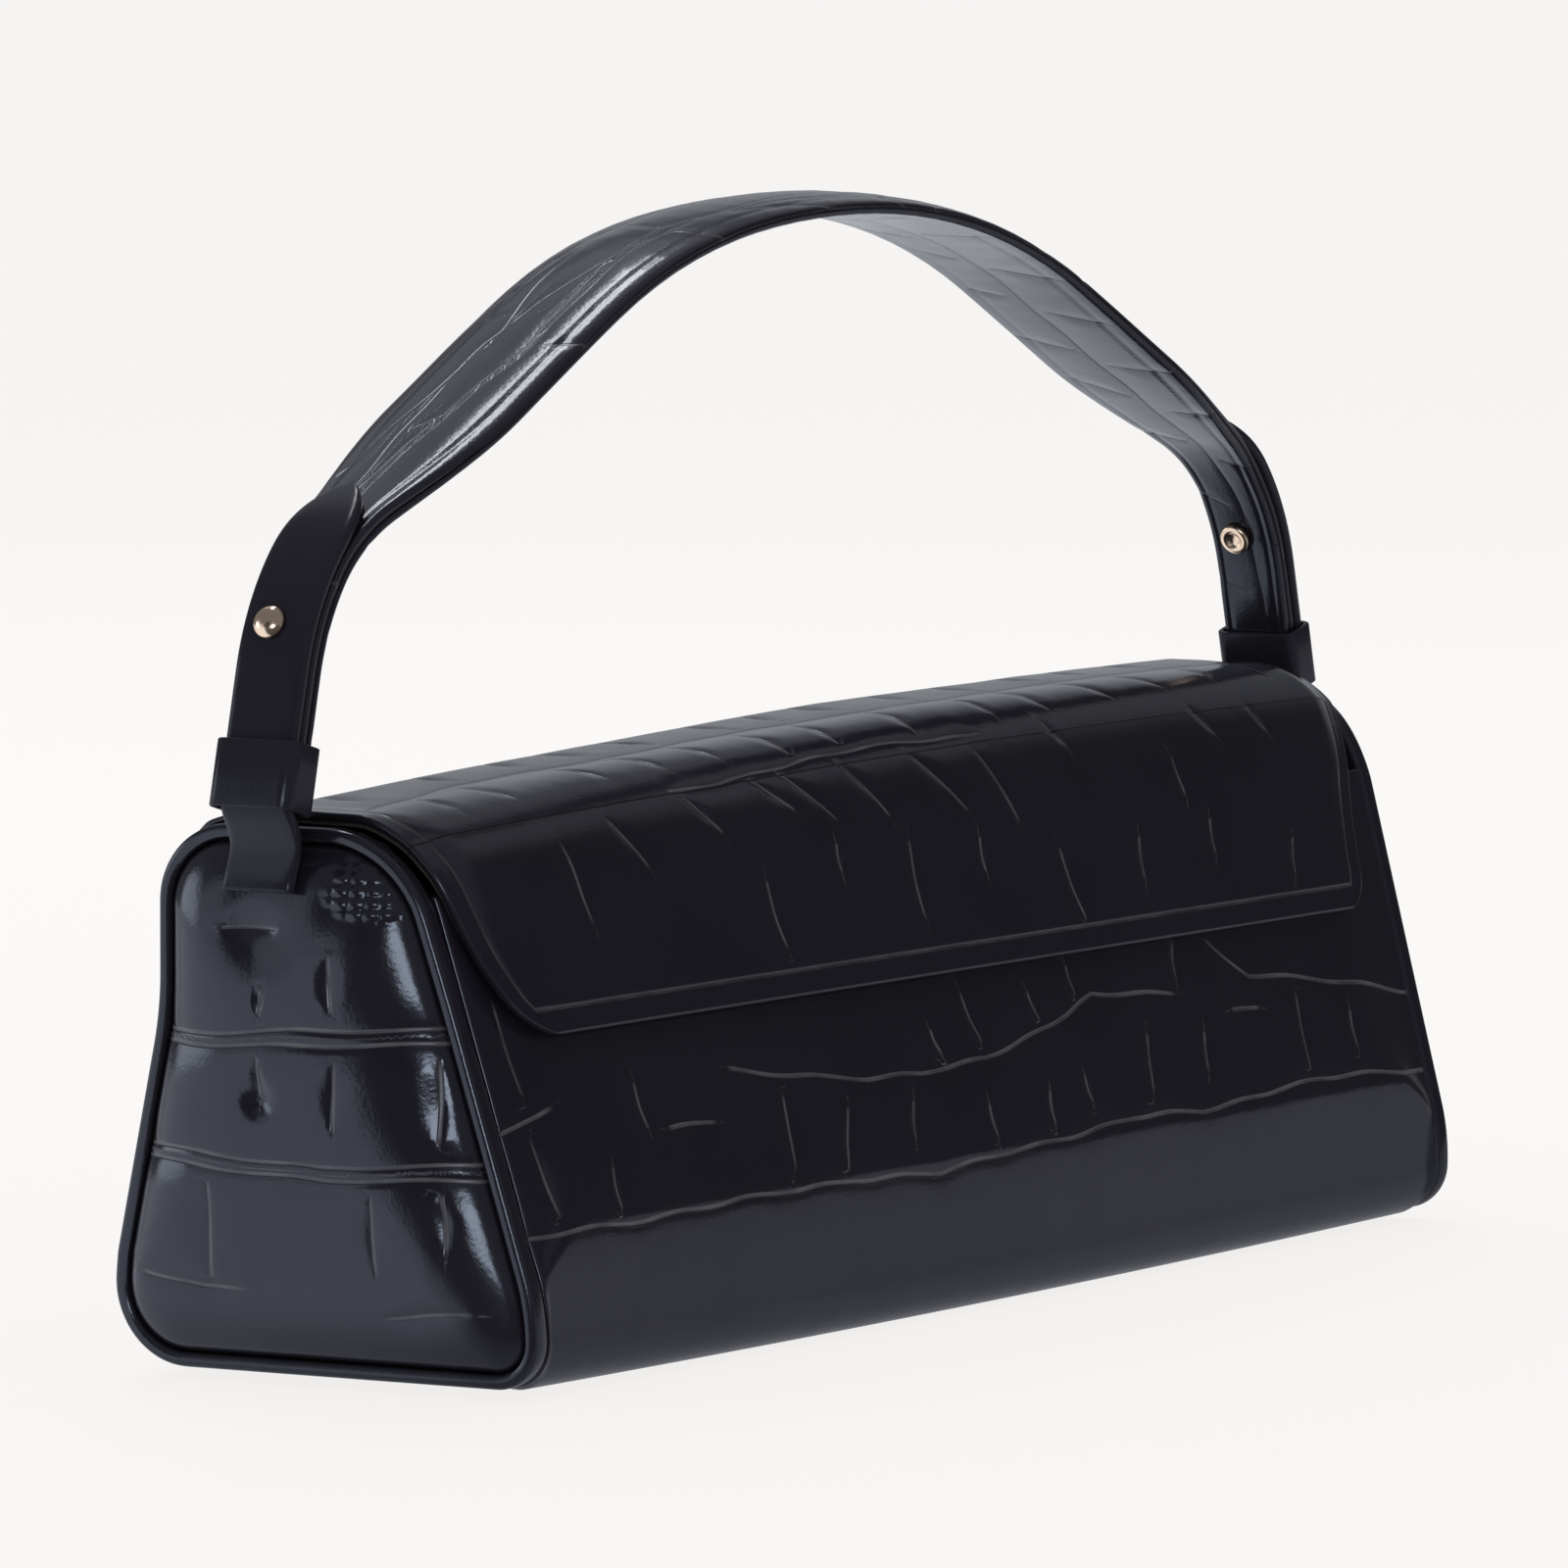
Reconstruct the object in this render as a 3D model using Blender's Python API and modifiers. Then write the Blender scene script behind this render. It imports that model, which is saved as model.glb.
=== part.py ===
"""A small top handle bag in embossed leather: a wedge-shaped body with domed end gussets,
a flap that folds over the mouth, and a wide arched handle held by two studded tabs.
Metres, +Z up. X runs along the bag, -Y is the front, and the base rests on Z = 0."""

import math

import bpy
from mathutils import Vector

# Body, seen from the end: Y across the bag, Z up.
HALF_LENGTH = 0.1537
END_FLARE = 0.0053
BODY_HEIGHT = 0.090
BASE_FRONT_Y = -0.0401
BASE_BACK_Y = 0.0414
BASE_FRONT_RADIUS = 0.008
BASE_BACK_RADIUS = 0.013
FRONT_KNEE_Y = -0.0398
FRONT_KNEE_Z = 0.014
FRONT_KNEE_RADIUS = 0.012
FRONT_TOP_Y = -0.018
FRONT_TOP_RADIUS = 0.020
BACK_KNEE_Y = 0.0392
BACK_KNEE_Z = 0.018
BACK_KNEE_RADIUS = 0.012
BACK_WAIST_Y = 0.0293
BACK_WAIST_DROP = 0.032
BACK_WAIST_RADIUS = 0.060
BACK_TOP_Y = 0.028
BACK_TOP_RADIUS = 0.014
MOUTH_DROP = 0.012
BASE_SEAM_Y = 0.026

# Layers of the walls, from the outside in.
GAP = 0.0003
LEATHER = 0.0016
BOARD = 0.0014
LINING = 0.0006
RIM_WALL = 0.0024
RIM_DEPTH = 0.0040
GUSSET_THICKNESS = 0.0018
GUSSET_RECESS = 0.0015
GUSSET_BULGE = 0.0070
GUSSET_BULGE_POWER = 4
GUSSET_RING_SHARES = (1.0, 0.97, 0.92, 0.84, 0.70, 0.50, 0.25)
GUSSET_CENTRE_Z = 0.048

# Flap: the top panel hangs on the back edge, the lip folds down over the front.
HINGE_DROP = 0.0045
FLAP_LEATHER = 0.0012
FLAP_LINING = 0.0006
FLAP_END_MARGIN = 0.0002
FLAP_REAR_BEND_Y = 0.015
FLAP_REAR_BEND_RADIUS = 0.015
FLAP_LIFT = 0.0004
HINGE_RUN = 0.0040
HINGE_RUN_RADIUS = 0.0060
LIP_STAND_OFF = 0.0017
LIP_SHOULDER_RADIUS = 0.021
LIP_DROP = 0.035
LIP_TAPER = 0.014
LIP_CORNER_RADIUS = 0.007
LIP_CORNER_SHARES = (0.0, 0.1, 0.3, 0.6, 1.0)

# Magnetic snap behind the lip.
SNAP_RADIUS = 0.006
SNAP_THICKNESS = 0.0004
SNAP_RISE = 0.009
SNAP_SIDES = 28

# Handle: X along the bag, Z up, all lying over the line Y = HANDLE_Y.
HANDLE_Y = 0.0035
STRAP_LAYER = 0.0016
STRAP_TAIL_OUT = 0.0060
STRAP_TAIL_RISE = 0.0025
STRAP_LEAN = 0.0097
STRAP_SHOULDER_RISE = 0.0402
STRAP_SHOULDER_RADIUS = 0.038
STRAP_APEX_RISE = 0.1108
STRAP_CROWN_RADIUS = 0.187
STRAP_TAIL_WIDTH = 0.0120
STRAP_WIDTH = 0.0234
STRAP_TAPER_START = 0.038
STRAP_TAPER_LENGTH = 0.050

TAB_THICKNESS = 0.0024
TAB_WIDTH = 0.0124
TAB_FOOT_DROP = 0.016
TAB_SEWN_LENGTH = 0.005
TAB_HINGE_DROP = 0.002
TAB_HINGE_RELIEF = 0.0008
TAB_REACH = 0.049
TAB_TIP_LENGTH = 0.009
TAB_TIP_SHARES = (0.3, 0.55, 0.75, 0.9, 1.0)
TAB_TIP_BLUNT_SHARE = 0.2

KEEPER_HEIGHT = 0.011
KEEPER_WALL = 0.0014
KEEPER_DROP = 0.0008
KEEPER_CORNER_RADIUS = 0.0006

STUD_RISE = 0.0280
STUD_HEAD_RADIUS = 0.0026
STUD_HEAD_HEIGHT = 0.0018
STUD_POST_RADIUS = 0.0012
STUD_HOLE_RADIUS = 0.0016
SCREW_CAP_RADIUS = 0.0026
SCREW_CAP_HEIGHT = 0.0009
SCREW_SLOT_WIDTH = 0.0006
SCREW_SLOT_DEPTH = 0.0004
STUD_SIDES = 20

# Places that follow from the sizes above.
BACK_WAIST_Z = BODY_HEIGHT - BACK_WAIST_DROP
MOUTH_FRONT_Z = BODY_HEIGHT - MOUTH_DROP
HINGE_Z = BODY_HEIGHT - HINGE_DROP
FLAP_HALF_LENGTH = HALF_LENGTH - FLAP_END_MARGIN
LIP_END_Z = BODY_HEIGHT - LIP_DROP
LIP_END_HALF_LENGTH = FLAP_HALF_LENGTH - LIP_TAPER
SNAP_Z = LIP_END_Z + SNAP_RISE
STRAP_TAIL_X = HALF_LENGTH + END_FLARE + STRAP_TAIL_OUT
STRAP_TAIL_Z = BODY_HEIGHT + STRAP_TAIL_RISE
STRAP_SHOULDER_X = STRAP_TAIL_X - STRAP_LEAN
STRAP_SHOULDER_Z = BODY_HEIGHT + STRAP_SHOULDER_RISE
STRAP_APEX_Z = BODY_HEIGHT + STRAP_APEX_RISE
TAB_FOOT_Z = BODY_HEIGHT - TAB_FOOT_DROP
TAB_HINGE_Z = BODY_HEIGHT - TAB_HINGE_DROP
STUD_HEIGHT_Z = BODY_HEIGHT + STUD_RISE

# How finely bends and round corners are drawn.
ARC_STEP = math.radians(15)
CROWN_STEP = math.radians(4.5)
SHARP_ANGLE = math.radians(35)
OVERRUN = 0.002

PARTS_NAME = "top_handle_bag"
CUTTERS_NAME = "cutters"

COLOURS = {
    "leather": ((0.012, 0.012, 0.016, 1.0), 0.22, 0.0),
    "lining": ((0.030, 0.026, 0.024, 1.0), 0.85, 0.0),
    "board": ((0.30, 0.25, 0.19, 1.0), 0.90, 0.0),
    "gold": ((0.83, 0.60, 0.36, 1.0), 0.25, 1.0),
    "steel": ((0.55, 0.55, 0.56, 1.0), 0.35, 1.0),
}


def clear_scene():
    for scene_object in list(bpy.data.objects):
        bpy.data.objects.remove(scene_object, do_unlink=True)


def new_collection(name, hidden):
    collection = bpy.data.collections.new(name)
    collection.hide_render = hidden
    bpy.context.scene.collection.children.link(collection)
    return collection


def give_material(part, kind):
    colour, roughness, metallic = COLOURS[kind]
    material = bpy.data.materials.new(part.name + "_" + kind)
    material.use_nodes = True
    shader = material.node_tree.nodes["Principled BSDF"]
    shader.inputs["Base Color"].default_value = colour
    shader.inputs["Roughness"].default_value = roughness
    shader.inputs["Metallic"].default_value = metallic
    part.data.materials.append(material)


def rounded_path(corners, radii, step=ARC_STEP, closed=False):
    """The corner points joined by straight runs, each corner turned by an arc of its radius."""
    count = len(corners)
    points = []
    for index, corner in enumerate(corners):
        at_end = index in (0, count - 1)
        if radii[index] == 0 or (at_end and not closed):
            points.append(Vector(corner))
            continue
        here = Vector(corner)
        back = (Vector(corners[index - 1]) - here).normalized()
        ahead = (Vector(corners[(index + 1) % count]) - here).normalized()
        half_angle = back.angle(ahead) / 2
        centre = here + (back + ahead).normalized() * radii[index] / math.sin(half_angle)
        first = here + back * radii[index] / math.tan(half_angle) - centre
        last = here + ahead * radii[index] / math.tan(half_angle) - centre
        turn = math.atan2(first.cross(last), first.dot(last))
        steps = max(1, math.ceil(abs(turn) / step))
        for number in range(steps + 1):
            angle = turn * number / steps
            cosine = math.cos(angle)
            sine = math.sin(angle)
            spoke = Vector((first.x * cosine - first.y * sine, first.x * sine + first.y * cosine))
            points.append(centre + spoke)
    return points


def lengths_of(points):
    lengths = [0.0]
    for before, after in zip(points, points[1:]):
        lengths.append(lengths[-1] + (after - before).length)
    return lengths


def point_at(points, length):
    lengths = lengths_of(points)
    for before, after, start, end in zip(points, points[1:], lengths, lengths[1:]):
        if length <= end:
            return before.lerp(after, (length - start) / (end - start))
    return points[-1]


def stretch(points, start, end):
    """The part of a path between two lengths along it."""
    lengths = lengths_of(points)
    inner = [point for point, length in zip(points, lengths) if start < length < end]
    return [point_at(points, start)] + inner + [point_at(points, end)]


def crossing(points, axis, value, last=False):
    """The length along a path where one coordinate passes a value, first or last time."""
    lengths = lengths_of(points)
    found = []
    for index in range(1, len(points)):
        before = points[index - 1][axis] - value
        after = points[index][axis] - value
        if before * after <= 0 and before != after:
            share = before / (before - after)
            found.append(lengths[index - 1] + share * (lengths[index] - lengths[index - 1]))
    return found[-1] if last else found[0]


def offset_path(points, distance, closed=False):
    """Each point moved to the left of the direction of travel, along the bisecting normal."""
    count = len(points)
    moved = []
    for index, point in enumerate(points):
        before = points[index - 1] if closed or index > 0 else point
        after = points[(index + 1) % count] if closed or index < count - 1 else point
        normals = []
        for run in (point - before, after - point):
            if run.length > 0:
                normals.append(Vector((-run.y, run.x)).normalized())
        bisector = sum(normals, Vector((0, 0))).normalized()
        moved.append(point + bisector * distance / bisector.dot(normals[0]))
    return moved


def add_surface(name, rows, collection, closed=False, capped_column=None):
    """An open sheet through rows of points; closed joins the last row to the first, and a
    capped column of a closed sheet is filled by one flat face."""
    mesh = bpy.data.meshes.new(name)
    width = len(rows[0])
    vertices = [point for row in rows for point in row]
    faces = []
    row_pairs = len(rows) if closed else len(rows) - 1
    for row in range(row_pairs):
        following = (row + 1) % len(rows)
        for column in range(width - 1):
            faces.append((row * width + column, following * width + column,
                          following * width + column + 1, row * width + column + 1))
    if capped_column is not None:
        rim = [row * width + capped_column for row in range(len(rows))]
        faces.append(tuple(reversed(rim)) if capped_column == 0 else tuple(rim))
    mesh.from_pydata([tuple(point) for point in vertices], [], faces)
    mesh.update()
    sheet = bpy.data.objects.new(name, mesh)
    collection.objects.link(sheet)
    return sheet


def thicken(sheet, thickness, outward):
    """A wall grown from the sheet, to the side its faces look at or to the other side."""
    wall = sheet.modifiers.new("wall", "SOLIDIFY")
    wall.thickness = thickness
    wall.offset = 1 if outward else -1
    wall.use_even_offset = True
    return sheet


def half_length_at(height):
    return HALF_LENGTH + END_FLARE * height / BODY_HEIGHT


def body_outline():
    """The closed end view of the body, from the middle of the top, round by the front."""
    middle = (FRONT_TOP_Y + BACK_TOP_Y) / 2
    corners = [
        (middle, BODY_HEIGHT),
        (FRONT_TOP_Y, BODY_HEIGHT),
        (FRONT_KNEE_Y, FRONT_KNEE_Z),
        (BASE_FRONT_Y, 0),
        (BASE_BACK_Y, 0),
        (BACK_KNEE_Y, BACK_KNEE_Z),
        (BACK_WAIST_Y, BACK_WAIST_Z),
        (BACK_TOP_Y, BODY_HEIGHT),
    ]
    radii = [0, FRONT_TOP_RADIUS, FRONT_KNEE_RADIUS, BASE_FRONT_RADIUS,
             BASE_BACK_RADIUS, BACK_KNEE_RADIUS, BACK_WAIST_RADIUS, BACK_TOP_RADIUS]
    return rounded_path(corners, radii, closed=True)


def wall_path(depth):
    """The closed outline moved in by a depth, as an open path that ends where it starts."""
    path = offset_path(body_outline(), depth, closed=True)
    return path + [path[0]]


def across_bag(path, half_lengths):
    """Rows that run the length of the bag, one for each point of an end-view path."""
    return [
        [Vector((-half, point.x, point.y)), Vector((half, point.x, point.y))]
        for point, half in zip(path, half_lengths)
    ]


def wrap_stretches(path):
    """Start and end lengths of the front, base and back walls along a wall path."""
    mouth = crossing(path, 1, MOUTH_FRONT_Z)
    front_seam = crossing(path, 0, -BASE_SEAM_Y, last=True)
    back_seam = crossing(path, 0, BASE_SEAM_Y)
    hinge = crossing(path, 1, HINGE_Z, last=True)
    half_gap = GAP / 2
    return {
        "front": (mouth, front_seam - half_gap),
        "base": (front_seam + half_gap, back_seam - half_gap),
        "back": (back_seam + half_gap, hinge - half_gap),
    }


def add_wrap_layer(names, depth, thickness, end_margin, kind, collection):
    """One layer of the wall that runs down the front, under the base and up the back."""
    path = wall_path(depth)
    for place, (start, end) in wrap_stretches(path).items():
        wall = stretch(path, start, end)
        halves = [half_length_at(point.y) - end_margin for point in wall]
        part = add_surface(names[place], across_bag(wall, halves), collection)
        thicken(part, thickness, outward=False)
        give_material(part, kind)


def add_boards(collection):
    """Stiff boards between leather and lining, on the flat of each wall only."""
    depth = LEATHER + GAP
    path = wall_path(depth)
    runs = wrap_stretches(path)
    runs["front"] = (runs["front"][0] + RIM_DEPTH, crossing(path, 1, FRONT_KNEE_Z))
    runs["back"] = (crossing(path, 1, BACK_KNEE_Z, last=True),
                    crossing(path, 1, MOUTH_FRONT_Z - RIM_DEPTH, last=True))
    for place, (start, end) in runs.items():
        wall = stretch(path, start, end)
        margin = RIM_DEPTH + GUSSET_RECESS + LINING
        halves = [half_length_at(point.y) - margin for point in wall]
        part = add_surface(place + "_board", across_bag(wall, halves), collection)
        thicken(part, BOARD, outward=False)
        give_material(part, "board")


def mirror_rows(rows):
    """The same sheet on the left end, still facing outwards."""
    return [[Vector((-point.x, point.y, point.z)) for point in reversed(row)] for row in rows]


def gusset_face_x(height, share):
    """How far out the domed end lies at a height, for a share of the way to its edge."""
    dome = GUSSET_BULGE * math.sqrt(max(0.0, 1 - share ** GUSSET_BULGE_POWER))
    return half_length_at(height) - GUSSET_RECESS + dome


def gusset_rows():
    edge = offset_path(body_outline(), RIM_WALL + GAP, closed=True)
    centre = Vector((HANDLE_Y, GUSSET_CENTRE_Z))
    rows = []
    for point in edge:
        row = []
        for share in GUSSET_RING_SHARES:
            place = centre.lerp(point, share)
            row.append(Vector((gusset_face_x(place.y, share), place.x, place.y)))
        rows.append(row)
    return rows


def add_gusset(side, collection):
    """The domed end panel, set inside its rim."""
    rows = gusset_rows()
    middle = len(GUSSET_RING_SHARES) - 1
    if side == "left":
        rows = mirror_rows(rows)
        middle = 0
    part = add_surface(side + "_gusset", rows, collection, closed=True, capped_column=middle)
    thicken(part, GUSSET_THICKNESS, outward=False)
    give_material(part, "leather")


def add_rim(side, collection):
    """The bound edge that runs all round an end, where the wrap and the gusset are sewn."""
    rows = []
    for point in body_outline():
        outer = half_length_at(point.y)
        rows.append([Vector((outer - RIM_DEPTH, point.x, point.y)),
                     Vector((outer, point.x, point.y))])
    if side == "left":
        rows = mirror_rows(rows)
    part = add_surface(side + "_rim", rows, collection, closed=True)
    thicken(part, RIM_WALL, outward=False)
    give_material(part, "leather")


def add_end_lining(side, collection):
    """A flat lining behind the gusset, between the wall linings."""
    depth = LEATHER + GAP
    sign = -1 if side == "left" else 1
    rows = []
    for point in offset_path(body_outline(), depth, closed=True):
        reach = half_length_at(point.y) - RIM_DEPTH - GAP
        rows.append([Vector((sign * reach, point.x, point.y))])
    if side == "left":
        rows.reverse()
    part = add_surface(side + "_lining", rows, collection, closed=True, capped_column=0)
    thicken(part, LINING, outward=True)
    give_material(part, "lining")


def front_line_frame():
    """A point on the front's outer face, its upward direction and its outward normal."""
    top = Vector((FRONT_TOP_Y, BODY_HEIGHT))
    upward = (top - Vector((FRONT_KNEE_Y, FRONT_KNEE_Z))).normalized()
    return top, upward, Vector((-upward.y, upward.x))


def flap_thickness():
    return FLAP_LEATHER + GAP + FLAP_LINING


def flap_path():
    """The outer face of the closed flap, from the back hinge over the top to the lip's end."""
    outline = wall_path(0)
    hinge_length = crossing(outline, 1, HINGE_Z, last=True)
    hinge = point_at(outline, hinge_length)
    along_back = (hinge - point_at(outline, hinge_length - GAP)).normalized()
    run_end = hinge + along_back * HINGE_RUN
    top_z = BODY_HEIGHT + FLAP_LIFT + flap_thickness()
    top, upward, normal = front_line_frame()
    on_lip = top + normal * (LIP_STAND_OFF + flap_thickness())
    shoulder = on_lip + upward * (top_z - on_lip.y) / upward.y
    end = on_lip + upward * (LIP_END_Z - on_lip.y) / upward.y
    corners = [hinge, run_end, (FLAP_REAR_BEND_Y, top_z), shoulder, end]
    radii = [0, HINGE_RUN_RADIUS, FLAP_REAR_BEND_RADIUS, LIP_SHOULDER_RADIUS, 0]
    path = rounded_path(corners, radii)
    runs = range(len(path) - 1)
    fold_run = min(runs, key=lambda run: ((path[run] + path[run + 1]) / 2 - shoulder).length)
    return path, fold_run


def middle_of_run(path, run):
    """The length along a path at the middle of one of its straight runs."""
    lengths = lengths_of(path)
    return (lengths[run] + lengths[run + 1]) / 2


def lip_half_lengths(path):
    """Half the lip's width at each point: it tapers evenly and its lower corners are round."""
    lengths = lengths_of(path)
    total = lengths[-1]
    halves = []
    for length in lengths:
        share = length / total
        half = FLAP_HALF_LENGTH + (LIP_END_HALF_LENGTH - FLAP_HALF_LENGTH) * share
        inside = min(max(0.0, length - (total - LIP_CORNER_RADIUS)), LIP_CORNER_RADIUS)
        rounding = LIP_CORNER_RADIUS - math.sqrt(LIP_CORNER_RADIUS ** 2 - inside ** 2)
        halves.append(half - rounding)
    return halves


def with_corner_rows(path):
    """The path with extra points near its end, where the lip's corners turn."""
    total = lengths_of(path)[-1]
    body = stretch(path, 0, total - LIP_CORNER_RADIUS)[:-1]
    turns = [1 - (1 - share) ** 2 for share in LIP_CORNER_SHARES]
    return body + [point_at(path, total - LIP_CORNER_RADIUS * (1 - turn)) for turn in turns]


def add_flap(collection):
    """The flap's top panel and lip, each a leather with its own lining beneath."""
    outer, fold_run = flap_path()
    layers = (("leather", 0, FLAP_LEATHER), ("lining", FLAP_LEATHER + GAP, FLAP_LINING))
    parts = {"flap": [], "lip": []}
    for kind, depth, thickness in layers:
        path = offset_path(outer, depth)
        fold = middle_of_run(path, fold_run)
        top = stretch(path, GAP / 2, fold - GAP / 2)
        halves = [FLAP_HALF_LENGTH] * len(top)
        panel = add_surface("flap_top_" + kind, across_bag(top, halves), collection)
        lip = with_corner_rows(stretch(path, fold + GAP / 2, lengths_of(path)[-1]))
        flap_lip = add_surface("lip_" + kind, across_bag(lip, lip_half_lengths(lip)), collection)
        for part in (panel, flap_lip):
            thicken(part, thickness, outward=False)
            give_material(part, kind)
        parts["flap"].append(panel)
        parts["lip"].append(flap_lip)
    return parts, outer[0], point_at(outer, middle_of_run(outer, fold_run))


def add_snap(name, distance, collection):
    """One thin disc of the magnetic snap, at a distance out from the front's face."""
    top, upward, normal = front_line_frame()
    centre = top + upward * (SNAP_Z - top.y) / upward.y + normal * distance
    bpy.ops.mesh.primitive_cylinder_add(
        vertices=SNAP_SIDES, radius=SNAP_RADIUS, depth=SNAP_THICKNESS)
    disc = bpy.context.active_object
    disc.name = name
    disc.data.name = name
    disc.rotation_euler = Vector((0, normal.x, normal.y)).to_track_quat("Z", "X").to_euler()
    disc.location = (0, centre.x, centre.y)
    move_to(disc, collection)
    give_material(disc, "steel")
    return disc


def move_to(part, collection):
    for owner in list(part.users_collection):
        owner.objects.unlink(part)
    collection.objects.link(part)


def strap_path():
    """The middle of the strap's thickness, from the right tail over the crown to the left."""
    corners = [
        (STRAP_TAIL_X, STRAP_TAIL_Z),
        (STRAP_SHOULDER_X, STRAP_SHOULDER_Z),
        (0, STRAP_APEX_Z),
        (-STRAP_SHOULDER_X, STRAP_SHOULDER_Z),
        (-STRAP_TAIL_X, STRAP_TAIL_Z),
    ]
    radii = [0, STRAP_SHOULDER_RADIUS, STRAP_CROWN_RADIUS, STRAP_SHOULDER_RADIUS, 0]
    path = rounded_path(corners, radii, step=CROWN_STEP)
    lengths = lengths_of(path)
    flank = STRAP_TAPER_START + STRAP_TAPER_LENGTH
    extra = [flank, lengths[-1] - flank]
    for length in extra:
        place = next(index for index, value in enumerate(lengths) if value > length)
        path.insert(place, point_at(path, length))
        lengths = lengths_of(path)
    return path


def strap_width(length, total):
    """Narrow at both tails, widening smoothly to the full width."""
    from_tail = min(length, total - length)
    share = min(1.0, max(0.0, (from_tail - STRAP_TAPER_START) / STRAP_TAPER_LENGTH))
    smooth = share * share * (3 - 2 * share)
    return STRAP_TAIL_WIDTH + (STRAP_WIDTH - STRAP_TAIL_WIDTH) * smooth


def over_handle_line(path, widths, middles=None):
    """Rows across the handle, front edge last so that the sheet faces outwards. Where the
    middles are another path, each row has a point of it between its two edges."""
    rows = []
    for number, (point, width) in enumerate(zip(path, widths)):
        row = [Vector((point.x, HANDLE_Y + width / 2, point.y)),
               Vector((point.x, HANDLE_Y - width / 2, point.y))]
        if middles:
            row.insert(1, Vector((middles[number].x, HANDLE_Y, middles[number].y)))
        rows.append(row)
    return rows


def add_strap(collection):
    path = strap_path()
    lengths = lengths_of(path)
    widths = [strap_width(length, lengths[-1]) for length in lengths]
    parts = []
    layers = (("strap_leather", -STRAP_LAYER - GAP / 2), ("strap_lining", GAP / 2))
    for name, depth in layers:
        layer = offset_path(path, depth)
        part = add_surface(name, over_handle_line(layer, widths), collection)
        thicken(part, STRAP_LAYER, outward=False)
        give_material(part, "leather")
        parts.append(part)
    return parts


def tab_path():
    """The inner face of the right tab, from its sewn foot up the gusset and round the strap."""
    along = offset_path(strap_path(), -(STRAP_LAYER + GAP * 3 / 2))
    reach = stretch(along, 0, TAB_REACH)
    top = BODY_HEIGHT - RIM_WALL - GAP
    sewn = []
    for height in (TAB_FOOT_Z, TAB_FOOT_Z + TAB_SEWN_LENGTH):
        share = (height - GUSSET_CENTRE_Z) / (top - GUSSET_CENTRE_Z)
        sewn.append(Vector((gusset_face_x(height, share) + GAP, height)))
    return sewn + reach


def foot_rows(path):
    """Rows of a tab's sewn foot; its top edge slopes away from the hinge to both sides."""
    total = lengths_of(path)[-1]
    edges = path[:-1] + [point_at(path, total - TAB_HINGE_RELIEF)]
    return over_handle_line(edges, [TAB_WIDTH] * len(path), middles=path)


def tab_rows(path):
    """Rows of a tab with a rounded tip; its lower edge slopes away from the hinge."""
    total = lengths_of(path)[-1]
    body = stretch(path, 0, total - TAB_TIP_LENGTH)
    widths = [TAB_WIDTH] * len(body)
    for share in TAB_TIP_SHARES:
        body.append(point_at(path, total - TAB_TIP_LENGTH * (1 - share)))
        spread = math.sqrt(1 - share ** 2 * (1 - TAB_TIP_BLUNT_SHARE ** 2))
        widths.append(TAB_WIDTH * spread)
    edges = [point_at(path, TAB_HINGE_RELIEF)] + body[1:]
    return over_handle_line(edges, widths, middles=body)


def add_tab(side, collection):
    """The end tab in two lengths: the foot sewn to the gusset, and the part that tilts."""
    path = tab_path()
    hinge = crossing(path, 1, TAB_HINGE_Z)
    lower = foot_rows(stretch(path, 0, hinge - GAP / 2))
    upper = tab_rows(stretch(path, hinge + GAP / 2, lengths_of(path)[-1]))
    parts = []
    for name, rows in ((side + "_tab_foot", lower), (side + "_tab", upper)):
        sided = mirror_rows(rows) if side == "left" else rows
        part = add_surface(name, sided, collection)
        thicken(part, TAB_THICKNESS, outward=True)
        give_material(part, "leather")
        parts.append(part)
    return parts


def tail_frame():
    """The right tail's end, the direction up along it and the direction out from it."""
    end = Vector((STRAP_TAIL_X, STRAP_TAIL_Z))
    upward = (Vector((STRAP_SHOULDER_X, STRAP_SHOULDER_Z)) - end).normalized()
    return end, upward, Vector((upward.y, -upward.x))


def add_keeper(side, collection):
    """The loop that holds the tab and the strap's tail together above the gusset."""
    end, upward, outward = tail_frame()
    inner = -STRAP_LAYER - GAP * 3 / 2
    outer = STRAP_LAYER + GAP * 3 / 2 + TAB_THICKNESS + GAP
    half_width = TAB_WIDTH / 2 + GAP
    corners = [(inner, -half_width), (outer, -half_width), (outer, half_width), (inner, half_width)]
    loop = rounded_path(corners, [KEEPER_CORNER_RADIUS] * len(corners), closed=True)
    rows = []
    for place in loop:
        row = []
        for height in (-KEEPER_DROP, KEEPER_HEIGHT - KEEPER_DROP):
            spot = end + outward * place.x + upward * height
            row.append(Vector((spot.x, HANDLE_Y + place.y, spot.y)))
        rows.append(row)
    if side == "left":
        rows = mirror_rows(rows)
    part = add_surface(side + "_keeper", rows, collection, closed=True)
    thicken(part, KEEPER_WALL, outward=True)
    give_material(part, "leather")
    return part


def add_turned(name, profile, collection, kind):
    """A turned piece about its own Z, from a profile that runs down its outer side."""
    mesh = bpy.data.meshes.new(name)
    edges = [(index, index + 1) for index in range(len(profile) - 1)]
    mesh.from_pydata([(radius, 0, height) for radius, height in profile], edges, [])
    part = bpy.data.objects.new(name, mesh)
    collection.objects.link(part)
    screw = part.modifiers.new("turn", "SCREW")
    screw.steps = STUD_SIDES
    screw.render_steps = STUD_SIDES
    screw.use_merge_vertices = True
    screw.merge_threshold = GAP / 10
    give_material(part, kind)
    return part


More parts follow.
